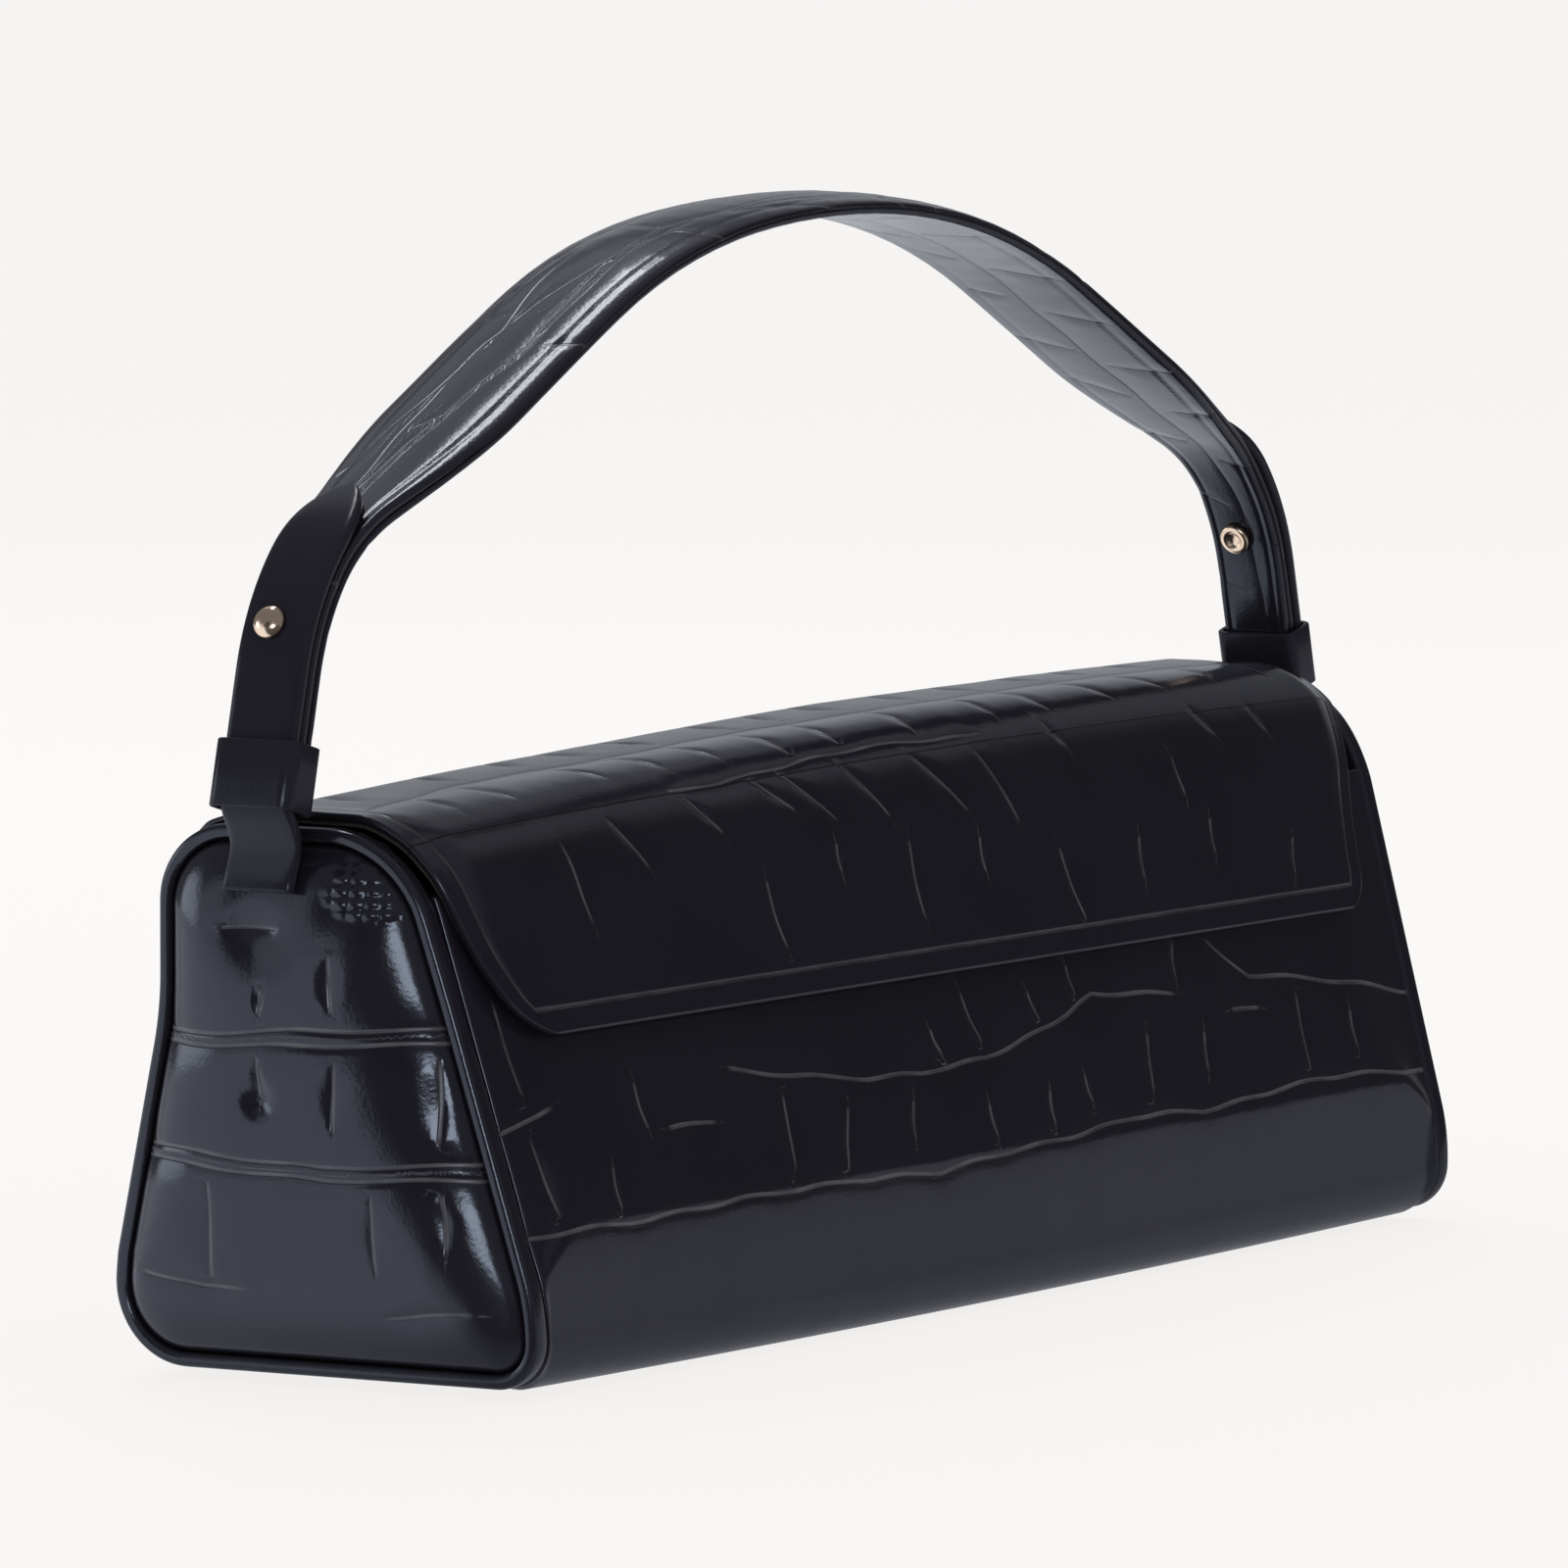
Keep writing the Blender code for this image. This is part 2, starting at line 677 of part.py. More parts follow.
def stud_place(side):
    """Where a stud goes through the strap, and the direction its head looks."""
    path = strap_path()
    length = crossing(path, 1, STUD_HEIGHT_Z)
    spot = point_at(path, length)
    run = (point_at(path, length + STUD_HOLE_RADIUS) - spot).normalized()
    sign = -1 if side == "left" else 1
    place = Vector((sign * spot.x, HANDLE_Y, spot.y))
    return place, Vector((sign * run.y, 0, -run.x))


def add_stud(side, collection):
    """The stud, its head outside the tab, and the screw cap that holds it from inside."""
    place, outward = stud_place(side)
    face = STRAP_LAYER + GAP * 3 / 2 + TAB_THICKNESS + GAP
    back = -STRAP_LAYER - GAP / 2
    dome = [
        (STUD_HEAD_RADIUS * math.sin(angle), face + STUD_HEAD_HEIGHT * (1 + math.cos(angle)) / 2)
        for angle in (math.radians(30 * step) for step in range(4))
    ]
    profile = dome + [(STUD_HEAD_RADIUS, face), (STUD_POST_RADIUS, face),
                      (STUD_POST_RADIUS, back), (0, back)]
    stud = add_turned(side + "_stud", profile, collection, "gold")
    cap_top = back - GAP
    cap_end = cap_top - SCREW_CAP_HEIGHT
    slot_floor = cap_end + SCREW_SLOT_DEPTH
    slot_outer = SCREW_CAP_RADIUS / 2
    slot_inner = slot_outer - SCREW_SLOT_WIDTH
    cap_profile = [
        (0, cap_top), (SCREW_CAP_RADIUS, cap_top), (SCREW_CAP_RADIUS, cap_end),
        (slot_outer, cap_end), (slot_outer, slot_floor), (slot_inner, slot_floor),
        (slot_inner, cap_end), (0, cap_end),
    ]
    screw = add_turned(side + "_stud_screw", cap_profile, collection, "gold")
    for part in (stud, screw):
        part.rotation_euler = outward.to_track_quat("Z", "Y").to_euler()
        part.location = place
    return [stud, screw]


def punch_stud_holes(parts, cutters):
    """A round hole through every strap and tab layer, on each stud's line."""
    depth = 2 * (STRAP_LAYER + TAB_THICKNESS) + 2 * OVERRUN
    for side in ("left", "right"):
        place, outward = stud_place(side)
        bpy.ops.mesh.primitive_cylinder_add(
            vertices=STUD_SIDES, radius=STUD_HOLE_RADIUS, depth=2 * depth)
        punch = bpy.context.active_object
        punch.name = side + "_stud_punch"
        punch.rotation_euler = outward.to_track_quat("Z", "Y").to_euler()
        punch.location = place
        punch.hide_render = True
        punch.display_type = "WIRE"
        move_to(punch, cutters)
        for part in parts:
            if part.name.startswith("strap") or part.name == side + "_tab":
                hole = part.modifiers.new(side + " stud hole", "BOOLEAN")
                hole.object = punch
                hole.operation = "DIFFERENCE"


def add_axis(name, place, collection, children):
    """An empty on a joint's axis that carries the pieces which move about it."""
    axis = bpy.data.objects.new(name, None)
    axis.location = place
    collection.objects.link(axis)
    bpy.context.view_layer.update()
    for child in children:
        child.parent = axis
        child.matrix_parent_inverse = axis.matrix_world.inverted()
    return axis


def smooth_round_pieces(collection):
    for part in collection.objects:
        if part.type == "MESH":
            part.data.shade_smooth()
            part.data.set_sharp_from_angle(angle=SHARP_ANGLE)


def build():
    clear_scene()
    parts = new_collection(PARTS_NAME, hidden=False)
    cutters = new_collection(CUTTERS_NAME, hidden=True)
    panels = {place: place + "_panel" for place in ("front", "base", "back")}
    linings = {place: place + "_lining" for place in ("front", "base", "back")}
    add_wrap_layer(panels, 0, LEATHER, RIM_DEPTH + GAP, "leather", parts)
    add_boards(parts)
    lining_depth = LEATHER + GAP + BOARD + GAP
    lining_margin = RIM_DEPTH + GAP + LINING + GAP
    add_wrap_layer(linings, lining_depth, LINING, lining_margin, "lining", parts)
    for side in ("left", "right"):
        add_gusset(side, parts)
        add_rim(side, parts)
        add_end_lining(side, parts)
    add_snap("snap_socket", GAP + SNAP_THICKNESS / 2, parts)
    flap_parts, hinge, fold = add_flap(parts)
    snap_back = LIP_STAND_OFF - GAP - SNAP_THICKNESS / 2
    flap_parts["lip"].append(add_snap("snap_stud", snap_back, parts))
    handle_parts = add_strap(parts)
    for side in ("left", "right"):
        handle_parts.append(add_tab(side, parts)[1])
        handle_parts.extend(add_stud(side, parts))
    punch_stud_holes(handle_parts, cutters)
    for side, sign in (("left", -1), ("right", 1)):
        keeper = add_keeper(side, parts)
        tail = (sign * STRAP_TAIL_X, HANDLE_Y, STRAP_TAIL_Z)
        handle_parts.append(add_axis(side + "_keeper_axis", tail, parts, [keeper]))
    lip_axis = add_axis("lip_axis", (0, fold.x, fold.y), parts, flap_parts["lip"])
    add_axis("flap_axis", (0, hinge.x, hinge.y), parts, flap_parts["flap"] + [lip_axis])
    add_axis("handle_axis", (0, HANDLE_Y, TAB_HINGE_Z), parts, handle_parts)
    smooth_round_pieces(parts)


build()
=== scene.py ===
"""A top handle bag in glossy embossed leather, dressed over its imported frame.
Metres, +Z up. X runs along the bag, -Y is the front, and the base rests on Z = 0."""

import math

import bpy
import numpy as np
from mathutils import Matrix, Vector


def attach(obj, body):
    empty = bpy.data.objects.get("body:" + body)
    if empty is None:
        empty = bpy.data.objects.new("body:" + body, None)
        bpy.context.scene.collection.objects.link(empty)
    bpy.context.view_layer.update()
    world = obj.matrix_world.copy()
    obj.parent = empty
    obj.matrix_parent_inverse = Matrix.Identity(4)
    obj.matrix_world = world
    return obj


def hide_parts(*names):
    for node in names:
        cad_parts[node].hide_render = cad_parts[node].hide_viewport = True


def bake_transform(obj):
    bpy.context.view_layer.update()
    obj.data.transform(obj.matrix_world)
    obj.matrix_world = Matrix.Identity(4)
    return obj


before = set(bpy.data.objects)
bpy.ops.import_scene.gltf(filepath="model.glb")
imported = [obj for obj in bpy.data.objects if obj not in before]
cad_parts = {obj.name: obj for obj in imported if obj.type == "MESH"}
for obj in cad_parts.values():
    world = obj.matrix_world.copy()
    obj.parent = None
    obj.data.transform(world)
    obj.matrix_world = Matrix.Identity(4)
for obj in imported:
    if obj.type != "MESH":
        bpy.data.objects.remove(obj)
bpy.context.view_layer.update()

# Body, seen from the end: Y across the bag, Z up.
HALF_LENGTH = 0.1537
END_FLARE = 0.0053
BODY_HEIGHT = 0.090
BODY_CORNERS = ((0.005, BODY_HEIGHT), (-0.018, BODY_HEIGHT), (-0.0398, 0.014), (-0.0401, 0),
                (0.0414, 0), (0.0392, 0.018), (0.0293, 0.058), (0.028, BODY_HEIGHT))
BODY_RADII = (0, 0.020, 0.040, 0.008, 0.013, 0.012, 0.060, 0.014)
MOUTH_FRONT_Z = 0.078
BASE_SEAM_Y = 0.026
GAP = 0.0003
LEATHER = 0.0016
EDGE_ROUNDING = 0.0005
RIM_WALL = 0.0024
RIM_DEPTH = 0.0040
RIM_ROUNDING = 0.0009

# The domed ends.
GUSSET_THICKNESS = 0.0018
GUSSET_RECESS = 0.0015
GUSSET_BULGE = 0.0070
GUSSET_DOME_POWER = 2.4
GUSSET_RING_POWER = 1.2
GUSSET_BACK_SHARES = (1, 0.97, 0.92, 0.84, 0.70, 0.50, 0.25)
GUSSET_CENTRE = (0.0035, 0.048)

# How far the left end's top has settled and the right end's top is raised, each above a share of
# the body's height, and how far the base hangs and the back stands out, each below a share of it.
END_DROP = 0.0016
END_DROP_SHARE = 0.6
END_RISE = 0.0025
END_RISE_SHARE = 0.86
BASE_SAG = 0.0010
BASE_SAG_SHARE = 0.4
BACK_BELLY = 0.0010
BACK_BELLY_SHARE = 0.7

# How far the front stands out or in at each height: it swells down to its lowest scale border,
# BAND_Z, and tucks in below it. Next to its sides and its seam it is held flat.
BAND_Z = 0.0243
FRONT_SWELL = ((0, 0.0006), (0.0042, -0.0007), (0.0084, -0.00125), (0.0112, -0.00105),
               (0.0140, -0.00065), (0.0168, -0.00005), (0.0196, 0.0007), (BAND_Z, 0.0020),
               (0.034, 0.0019), (0.062, 0.0003), (0.090, 0))
FRONT_SWELL_RADII = (0, 0.010, 0.010, 0.030, 0.030, 0.030, 0.030, 0.0012, 0.080, 0.100, 0)
SIDE_HOLD = 0.022
BAND_HOLD = 0.0022
BAND_HOLD_SHARES = (0.7, 1.3)
SEAM_HOLD = 0.008

# Flap, lip and hinge.
HINGE_Z = 0.0855
FLAP_LEATHER = 0.0012
FLAP_LINING = 0.0006
FLAP_LAYERS = FLAP_LEATHER + GAP + FLAP_LINING
FLAP_LIFT = 0.0004
FLAP_HALF_LENGTH = 0.1535
FLAP_FLARE = 0.0010
FLAP_REAR_BEND_Y = 0.015
FLAP_REAR_BEND_RADIUS = 0.015
HINGE_RUN = 0.0040
HINGE_RUN_RADIUS = 0.0060
LIP_STAND_OFF = 0.0017
LIP_SHOULDER_RADIUS = 0.021
LIP_END_Z = 0.055
LIP_END_HALF_LENGTH = 0.1395
LIP_LEFT_POWER = 2.5
LIP_RIGHT_POWER = 1.8
LIP_CORNER_RADIUS = 0.007
FOLD_POINT = (-0.01795, 0.08813)

# How far the flap's top stands up or settles at each X, whole between the first two shares of
# the way along the flap and gone at the third.
FLAP_RISE_PLACES = (-0.145, -0.094, -0.043, 0.022, 0.089, 0.143)
FLAP_RISES = (-0.0019, 0.0004, 0.0023, 0.0042, 0.0048, 0.0046)
FLAP_RISE_SHARES = (0.17, 0.42, 0.78)

# How far the flap's sides bend in towards the rims, at shares of the way along the flap.
FLAP_CURL_SHARES = (0, 0.10, 0.17, 0.25, 0.42, 0.50, 0.60, 0.70, 0.85, 1)
LEFT_CURLS = (0, 0, 0, 0, 0.0002, 0.0010, 0.0017, 0.0018, 0.0012, 0)
RIGHT_CURLS = (0, 0, 0.0015, 0.0022, 0.0022, 0.0022, 0.0019, 0.0012, 0.0004, 0)
FLAP_CURL_REACH = 0.010

# The line pressed into the leather along the edges of the flap and the strap.
PRESSED_LINE_INSET = 0.0042
PRESSED_LINE_WIDTH = 0.0004
PRESSED_LINE_DEPTH = 0.00015
# How strongly the flap's pressed line is painted paler, a painted highlight like the grooves'.
PRESSED_LINE_HIGHLIGHT_SHARE = 0.45

# Handle: the strap's middle line is given by X and Z.
HANDLE_Y = 0.0035
STRAP_LAYER = 0.0016
STRAP_CORNERS = ((0.1650, 0.0925), (0.1553, 0.1302), (0, 0.2008),
                 (-0.1553, 0.1302), (-0.1650, 0.0925))
STRAP_RADII = (0, 0.038, 0.187, 0.038, 0)
STRAP_TAIL_WIDTH = 0.0126
STRAP_WIDTH = 0.0252
STRAP_TAPER_START = 0.038
STRAP_TAPER_END = 0.088
STRAP_CROWN = 0.0018
STRAP_CROWN_POWER = 2.4
STRAP_CROWN_SHARE = 0.4
UNDERSIDE_CROWN_SHARE = 0.4
STRAP_ROUNDING_SHARE = 0.45
STRAP_EDGE_SHARE = 0.05
STRAP_LINE_SHARE = 0.74
STRAP_SHIFT = 0.0004
STRAP_BOWS = (0.0008, 0.0017)
STRAP_BOW_START_SHARE = 0.16

# Tabs, keepers and studs.
TAB_THICKNESS = 0.0024
TAB_WIDTH = 0.0130
TAB_SECTION_POWER = 0.4
TAB_FOOT_Z = 0.078
TAB_LEAN = 0.0028
TAB_SEWN_LENGTH = 0.005
TAB_REACH = 0.056
TAB_BEND = 0.012
TAB_TIP_LENGTH = 0.016
TAB_TIP_POWERS = (2.2, 0.7)
TAB_ROUNDING = 0.0007
KEEPER_HEIGHT = 0.011
KEEPER_WALL = 0.0010
KEEPER_WALL_ROUNDING_SHARE = 0.3
KEEPER_DROP = 0.0016
KEEPER_ROUNDING = 0.0011
STUD_HEIGHT_Z = 0.1190
STUD_SHIFT = 0.0012
STUD_HEAD_RADIUS = 0.0028
STUD_HEAD_HEIGHT = 0.0018
STUD_POST_RADIUS = 0.0012
STUD_POLE_RADIUS = 0.00015
SCREW_CAP_HEIGHT = 0.0009
SCREW_CAP_RIM_SHARE = 0.9
SCREW_CAP_WELL_SHARES = (0.55, 0.45)

# How far out from the strap's middle line the tab starts, and what lies on the tab.
TAB_OUT = STRAP_LAYER + GAP * 3 / 2
ON_TAB = TAB_OUT + TAB_THICKNESS + GAP

# Embossing.
FLAP_TOP_STRENGTH = 0.8
FLAP_TOP_SHARE = 0.8
STRAP_STRENGTH = 0.45
GUSSET_STRENGTH = 1.15
GROOVE_DEPTH = 0.00014
GROOVE_WIDTH = 0.0008
GROOVE_REACH = 0.0018
GROOVE_TAPER = 0.0030
GROOVE_TAPER_SHARE = 0.18
PILLOW_DEPTH = 0.00028
PILLOW_WIDTH = 0.0032
PILLOW_SHARE = 0.16
PILLOW_LEAST = 0.0009
PILLOW_TAPER = 0.008
WAVER = 0.0005
WAVER_LENGTH = 0.011

# The draws for made-up scales, as shares of a scale's length and of its row's width.
WANDER_SHARE = 1 / 14
LEAN_SHARE = 1 / 12
FIRST_STEP_SHARES = (0.3, 1)
STEP_SHARES = (0.75, 1.3)
START_SHARES = (0, 0.2)
END_SHARES = (0.8, 1)

# Fineness of the meshes.
ARC_POINTS = 25
EDGE_POINTS = 6
SECTION_STEP = 6
BORDER_POINTS = 9
FOLD_STEPS = 4000
PROBE = 0.0004


class Profile:
    """A path in a plane, read by the length along it."""

    def __init__(self, points):
        self.points = np.asarray(points, float)
        runs = np.linalg.norm(np.diff(self.points, axis=0), axis=1)
        keep = np.concatenate([[True], runs > GAP / 1000])
        self.points = self.points[keep]
        runs = np.linalg.norm(np.diff(self.points, axis=0), axis=1)
        self.lengths = np.concatenate([[0], np.cumsum(runs)])
        self.total = self.lengths[-1]

    def at(self, length):
        """The point at each length, which is the end point for a length past either end."""
        columns = [np.interp(length, self.lengths, self.points[:, axis]) for axis in (0, 1)]
        return np.stack(columns, -1)

    def right(self, length):
        """The unit normal to the right of the direction of travel."""
        ahead = self.at(np.minimum(length + PROBE, self.total))
        back = self.at(np.maximum(length - PROBE, 0))
        run = ahead - back
        run /= np.linalg.norm(run, axis=-1, keepdims=True)
        return np.stack([run[..., 1], -run[..., 0]], -1)

    def where(self, axis, value, last=False):
        """The length at which one coordinate passes a value, for the first or last time."""
        gaps = self.points[:, axis] - value
        found = np.nonzero(gaps[:-1] * gaps[1:] <= 0)[0]
        index = found[-1] if last else found[0]
        share = gaps[index] / (gaps[index] - gaps[index + 1])
        return self.lengths[index] + share * (self.lengths[index + 1] - self.lengths[index])


def unit(vector):
    return vector / np.linalg.norm(vector)


def rounded(corners, radii, closed=False):
    """Corner points joined by straight runs, each corner turned by an arc of its radius."""
    corners = np.asarray(corners, float)
    count = len(corners)
    stretches = []
    for index, here in enumerate(corners):
        at_end = index in (0, count - 1) and not closed
        if radii[index] == 0 or at_end:
            stretches.append(here[None])
            continue
        back = unit(corners[index - 1] - here)
        ahead = unit(corners[(index + 1) % count] - here)
        half_angle = math.acos(float(back @ ahead)) / 2
        centre = here + unit(back + ahead) * radii[index] / math.sin(half_angle)
        first = here + back * radii[index] / math.tan(half_angle) - centre
        last = here + ahead * radii[index] / math.tan(half_angle) - centre
        turn = math.atan2(first[0] * last[1] - first[1] * last[0], float(first @ last))
        angles = np.linspace(0, turn, ARC_POINTS)[:, None]
        across = np.array([-first[1], first[0]])
        stretches.append(centre + np.cos(angles) * first + np.sin(angles) * across)
    return np.concatenate(stretches)


def closed_profile(corners, radii):
    """A path round rounded corners, back to its first point."""
    points = rounded(corners, radii, closed=True)
    return Profile(np.concatenate([points, points[:1]]))


def half_length_at(height):
    """Half the body's length, which grows evenly with the height."""
    return HALF_LENGTH + END_FLARE * height / BODY_HEIGHT


def smooth_step(value, low, high):
    """Nought below low and one above high, with a smooth rise between."""
    share = np.clip((value - low) / (high - low), 0, 1)
    return share ** 2 * (3 - 2 * share)


def end_drop(side, z):
    """How far the top of the left end has settled, and that of the right end has risen: nothing
    low down, the whole at the top."""
    if side == "right":
        return -END_RISE * smooth_step(z, BODY_HEIGHT * END_RISE_SHARE, BODY_HEIGHT)
    return END_DROP * smooth_step(z, BODY_HEIGHT * END_DROP_SHARE, BODY_HEIGHT)


def body_sag(x, z):
    """How far the base hangs: a parabola along the bag that fades out up the walls."""
    along = 1 - (x / HALF_LENGTH) ** 2
    return BASE_SAG * along * (1 - smooth_step(z, 0, BODY_HEIGHT * BASE_SAG_SHARE))


def belly(place, z):
    """How far a wall stands out at each height: the front by its line of swells, the back by
    a squared sine, the base not at all."""
    if place == "front":
        swell = rounded(FRONT_SWELL, FRONT_SWELL_RADII)
        return np.interp(z, swell[:, 0], swell[:, 1])
    if place == "back":
        share = np.clip(z / (BODY_HEIGHT * BACK_BELLY_SHARE), 0, 1)
        return BACK_BELLY * np.sin(np.pi * share) ** 2
    return 0 * z


def spaced(start, end, count, edge=0.0):
    """Even steps from start to end, with closer ones next to both ends where an edge turns."""
    steps = np.linspace(start, end, count)
    if not edge:
        return steps
    turns = edge * (1 - np.cos(np.linspace(0, math.pi / 2, EDGE_POINTS)))
    inner = steps[(steps > start + edge) & (steps < end - edge)]
    return np.concatenate([start + turns, inner, end - turns[::-1]])


def turned_edge(distance, radius):
    """How far a surface drops near its edge: the rise of a quarter circle of that radius."""
    inside = np.clip(radius - distance, 0, radius)
    return radius - np.sqrt(radius ** 2 - inside ** 2)


def grid_faces(rows, columns, first=0, wrap_rows=False, wrap_columns=False):
    """Four-cornered faces between neighbouring points of a grid."""
    row = np.arange(rows if wrap_rows else rows - 1)[:, None]
    column = np.arange(columns if wrap_columns else columns - 1)[None, :]
    next_row = (row + 1) % rows
    next_column = (column + 1) % columns
    corners = [row * columns + column, next_row * columns + column,
               next_row * columns + next_column, row * columns + next_column]
    return np.stack(np.broadcast_arrays(*corners), -1).reshape(-1, 4) + first


def strip(line, other):
    """Four-cornered faces between two lines of points."""
    return np.stack([line[:-1], line[1:], other[1:], other[:-1]], -1)


def fan(ring, pole, turned=False):
    """Three-cornered faces between a closed ring of points and a pole."""
    pairs = zip(ring, np.roll(ring, -1))
    return [(ahead, here, pole) if turned else (here, ahead, pole) for here, ahead in pairs]


def on_side(grid, side):
    """A grid made for the right end, mirrored where it is for the left one."""
    return grid[:, ::-1] * (-1, 1, 1) if side == "left" else grid


def add_mesh(name, points, faces, others=(), values=None):
    """A smooth mesh from points, four-cornered faces and any faces of other counts."""
    mesh = bpy.data.meshes.new(name)
    corners = np.concatenate([faces.ravel()] + [np.asarray(face) for face in others])
    counts = np.concatenate([np.full(len(faces), 4), [len(face) for face in others]])
    starts = np.concatenate([[0], np.cumsum(counts)[:-1]])
    mesh.vertices.add(len(points))
    mesh.vertices.foreach_set("co", np.asarray(points, np.float32).ravel())
    mesh.loops.add(len(corners))
    mesh.loops.foreach_set("vertex_index", corners.astype(np.int32))
    mesh.polygons.add(len(counts))
    mesh.polygons.foreach_set("loop_start", starts.astype(np.int32))
    mesh.update(calc_edges=True)
    mesh.validate()
    mesh.shade_smooth()
    marks = mesh.attributes.new("groove", "FLOAT_VECTOR", "POINT")
    shown = np.zeros((len(points), 3), np.float32)
    if values is not None:
        shown[:len(values), :2] = values
    marks.data.foreach_set("vector", shown.ravel())
    piece = bpy.data.objects.new(name, mesh)
    bpy.context.scene.collection.objects.link(piece)
    return piece


def add_wall(name, outer, inner, groove):
    """A closed wall: the outer grid in full, a turned edge all round to the inner grid's
    border, and a back of strips that run straight from side to side."""
    rows, columns = outer.shape[:2]
    first = rows * columns
    left = first + np.arange(rows)
    right = left + rows
    middle = first + 2 * rows + np.arange(columns - 2)
    top = np.concatenate([left[:1], middle, right[:1]])
    bottom = np.concatenate([left[-1:], middle + columns - 2, right[-1:]])
    points = np.concatenate([
        outer.reshape(-1, 3), inner[:, 0], inner[:, -1], inner[0, 1:-1], inner[-1, 1:-1]])
    index = np.arange(first).reshape(rows, columns)
    faces = [
        grid_faces(rows, columns),
        strip(left, index[:, 0]),
        strip(index[:, -1], right),
        strip(index[0], top),
        strip(bottom, index[-1]),
        np.stack([left[1:-2], right[1:-2], right[2:-1], left[2:-1]], -1),
    ]
    first_strip = np.concatenate([top, [right[1], left[1]]])
    last_strip = np.concatenate([[left[-2], right[-2]], bottom[::-1]])
    return add_mesh(name, points, np.concatenate(faces), (first_strip, last_strip),
                    groove.reshape(-1, 2))


def add_ring(name, grid):
    """A closed ring: a closed section carried round a closed path."""
    rows, columns = grid.shape[:2]
    faces = grid_faces(rows, columns, wrap_rows=True, wrap_columns=True)
    return add_mesh(name, grid.reshape(-1, 3), faces)


def add_bar(name, grid, groove=None):
    """A closed bar: a closed section carried along an open path, its ends filled."""
    rows, columns = grid.shape[:2]
    faces = grid_faces(rows, columns, wrap_columns=True)
    start = np.arange(columns)
    end = (rows - 1) * columns + np.arange(columns)[::-1]
    values = None if groove is None else groove.reshape(-1, 2)
    return add_mesh(name, grid.reshape(-1, 3), faces, (start, end), values)


def waver(along, across):
    """A slow wander: three sines of unrelated lengths added together."""
    return WAVER * (np.sin(along / WAVER_LENGTH) + np.sin(across / WAVER_LENGTH * 1.7 + 1)
                    + np.sin((along + across) / WAVER_LENGTH * 2.9 + 2)) / 2


def line_offset(along, across, line):
    """The distance from each place to a line of straight runs, below nought on its right."""
    nearest = np.full(np.shape(along), np.inf)
    for start, end in zip(line, line[1:]):
        run_x, run_y = end[0] - start[0], end[1] - start[1]
        from_x, from_y = along - start[0], across - start[1]
        share = (from_x * run_x + from_y * run_y) / (run_x ** 2 + run_y ** 2)
        share = np.clip(share, 0, 1)
        away = np.hypot(from_x - share * run_x, from_y - share * run_y)
        side = np.where(run_x * from_y < run_y * from_x, -1, 1)
        nearest = np.where(away < np.abs(nearest), side * away, nearest)
    return nearest


def embossing(along, across, lines, strength=1.0):
    """Height and marks of the scales. Each groove is a narrow bell in the distance to its line,
    in a wider and shallower bell that rounds the scales off towards it, and it fades out at
    both of its ends. The marks are how much a place belongs to a groove, and how far to one
    side of the groove's line it lies, in groove widths; the finish paints the grooves by them,
    paler as a painted highlight on their flanks, and on the handle's underside darker as
    painted shade."""
    moved = along + waver(across, along)
    lifted = across + waver(along, across)
    narrow, wide, belongs, offset = np.zeros((4,) + np.shape(along))
    for line in lines:
        away = line_offset(moved, lifted, line)
        length = math.dist(line[0], line[-1])
        to_start, to_end = [np.hypot(moved - x, lifted - y) for x, y in (line[0], line[-1])]
        from_end = np.minimum(to_start, to_end)
        taper = smooth_step(from_end, 0, min(GROOVE_TAPER, length * GROOVE_TAPER_SHARE))
        slow_taper = smooth_step(from_end, 0, min(PILLOW_TAPER, length / 2))
        pillow = min(max(length * PILLOW_SHARE, PILLOW_LEAST), PILLOW_WIDTH)
        narrow = np.maximum(narrow, taper * np.exp(-(away / GROOVE_WIDTH) ** 2))
        wide = np.maximum(wide, slow_taper * np.exp(-(away / pillow) ** 2))
        mark = taper * np.exp(-(away / GROOVE_REACH) ** 4)
        offset = np.where(mark > belongs, away / GROOVE_WIDTH, offset)
        belongs = np.maximum(belongs, mark)
    height = -strength * (GROOVE_DEPTH * narrow + PILLOW_DEPTH * wide)
    return height, np.stack([belongs * strength, offset], -1)


def scale_lines(rows, half_length, spacing, lean, seed):
    """Made-up scale borders: a wandering line along each row's border, and crossings between
    the rows at uneven steps."""
    chance = np.random.default_rng(seed)
    places = np.linspace(-half_length, half_length, BORDER_POINTS)
    borders = [level + chance.normal(0, spacing * WANDER_SHARE, len(places)) for level in rows]
    lines = [list(zip(places, border)) for border in borders[1:-1]]
    for low, high in zip(borders, borders[1:]):
        place = -half_length + spacing * chance.uniform(*FIRST_STEP_SHARES)
        while place < half_length:
            bottom = np.interp(place, places, low)
            rise = np.interp(place, places, high) - bottom
            shift = chance.normal(lean, spacing * LEAN_SHARE)
            start, end = chance.uniform(*START_SHARES), chance.uniform(*END_SHARES)
            lines.append(((place - shift / 2, bottom + rise * start),
                          (place + shift / 2, bottom + rise * end)))
            place += spacing * chance.uniform(*STEP_SHARES)
    return lines


# Made-up scales: the levels of the rows' borders, half the length of the rows, the usual length
# of a scale, how far a crossing leans on the average, and the seed of the draws.
BACK_SCALES = ((0.010, 0.026, 0.044, 0.064, 0.084), 0.152, 0.022, 0, 5)
TOP_SCALES = ((0.040, 0.055, 0.072, 0.090), 0.150, 0.022, 0, 11)
STRAP_SCALES = ((-0.0130, -0.0082, -0.0042, 0, 0.0046, 0.0085, 0.0130), 0.19, 0.060, 0.004, 21)
UNDERSIDE_SCALES = ((-0.0130, -0.0010, 0.0130), 0.19, 0.020, 0.005, 22)

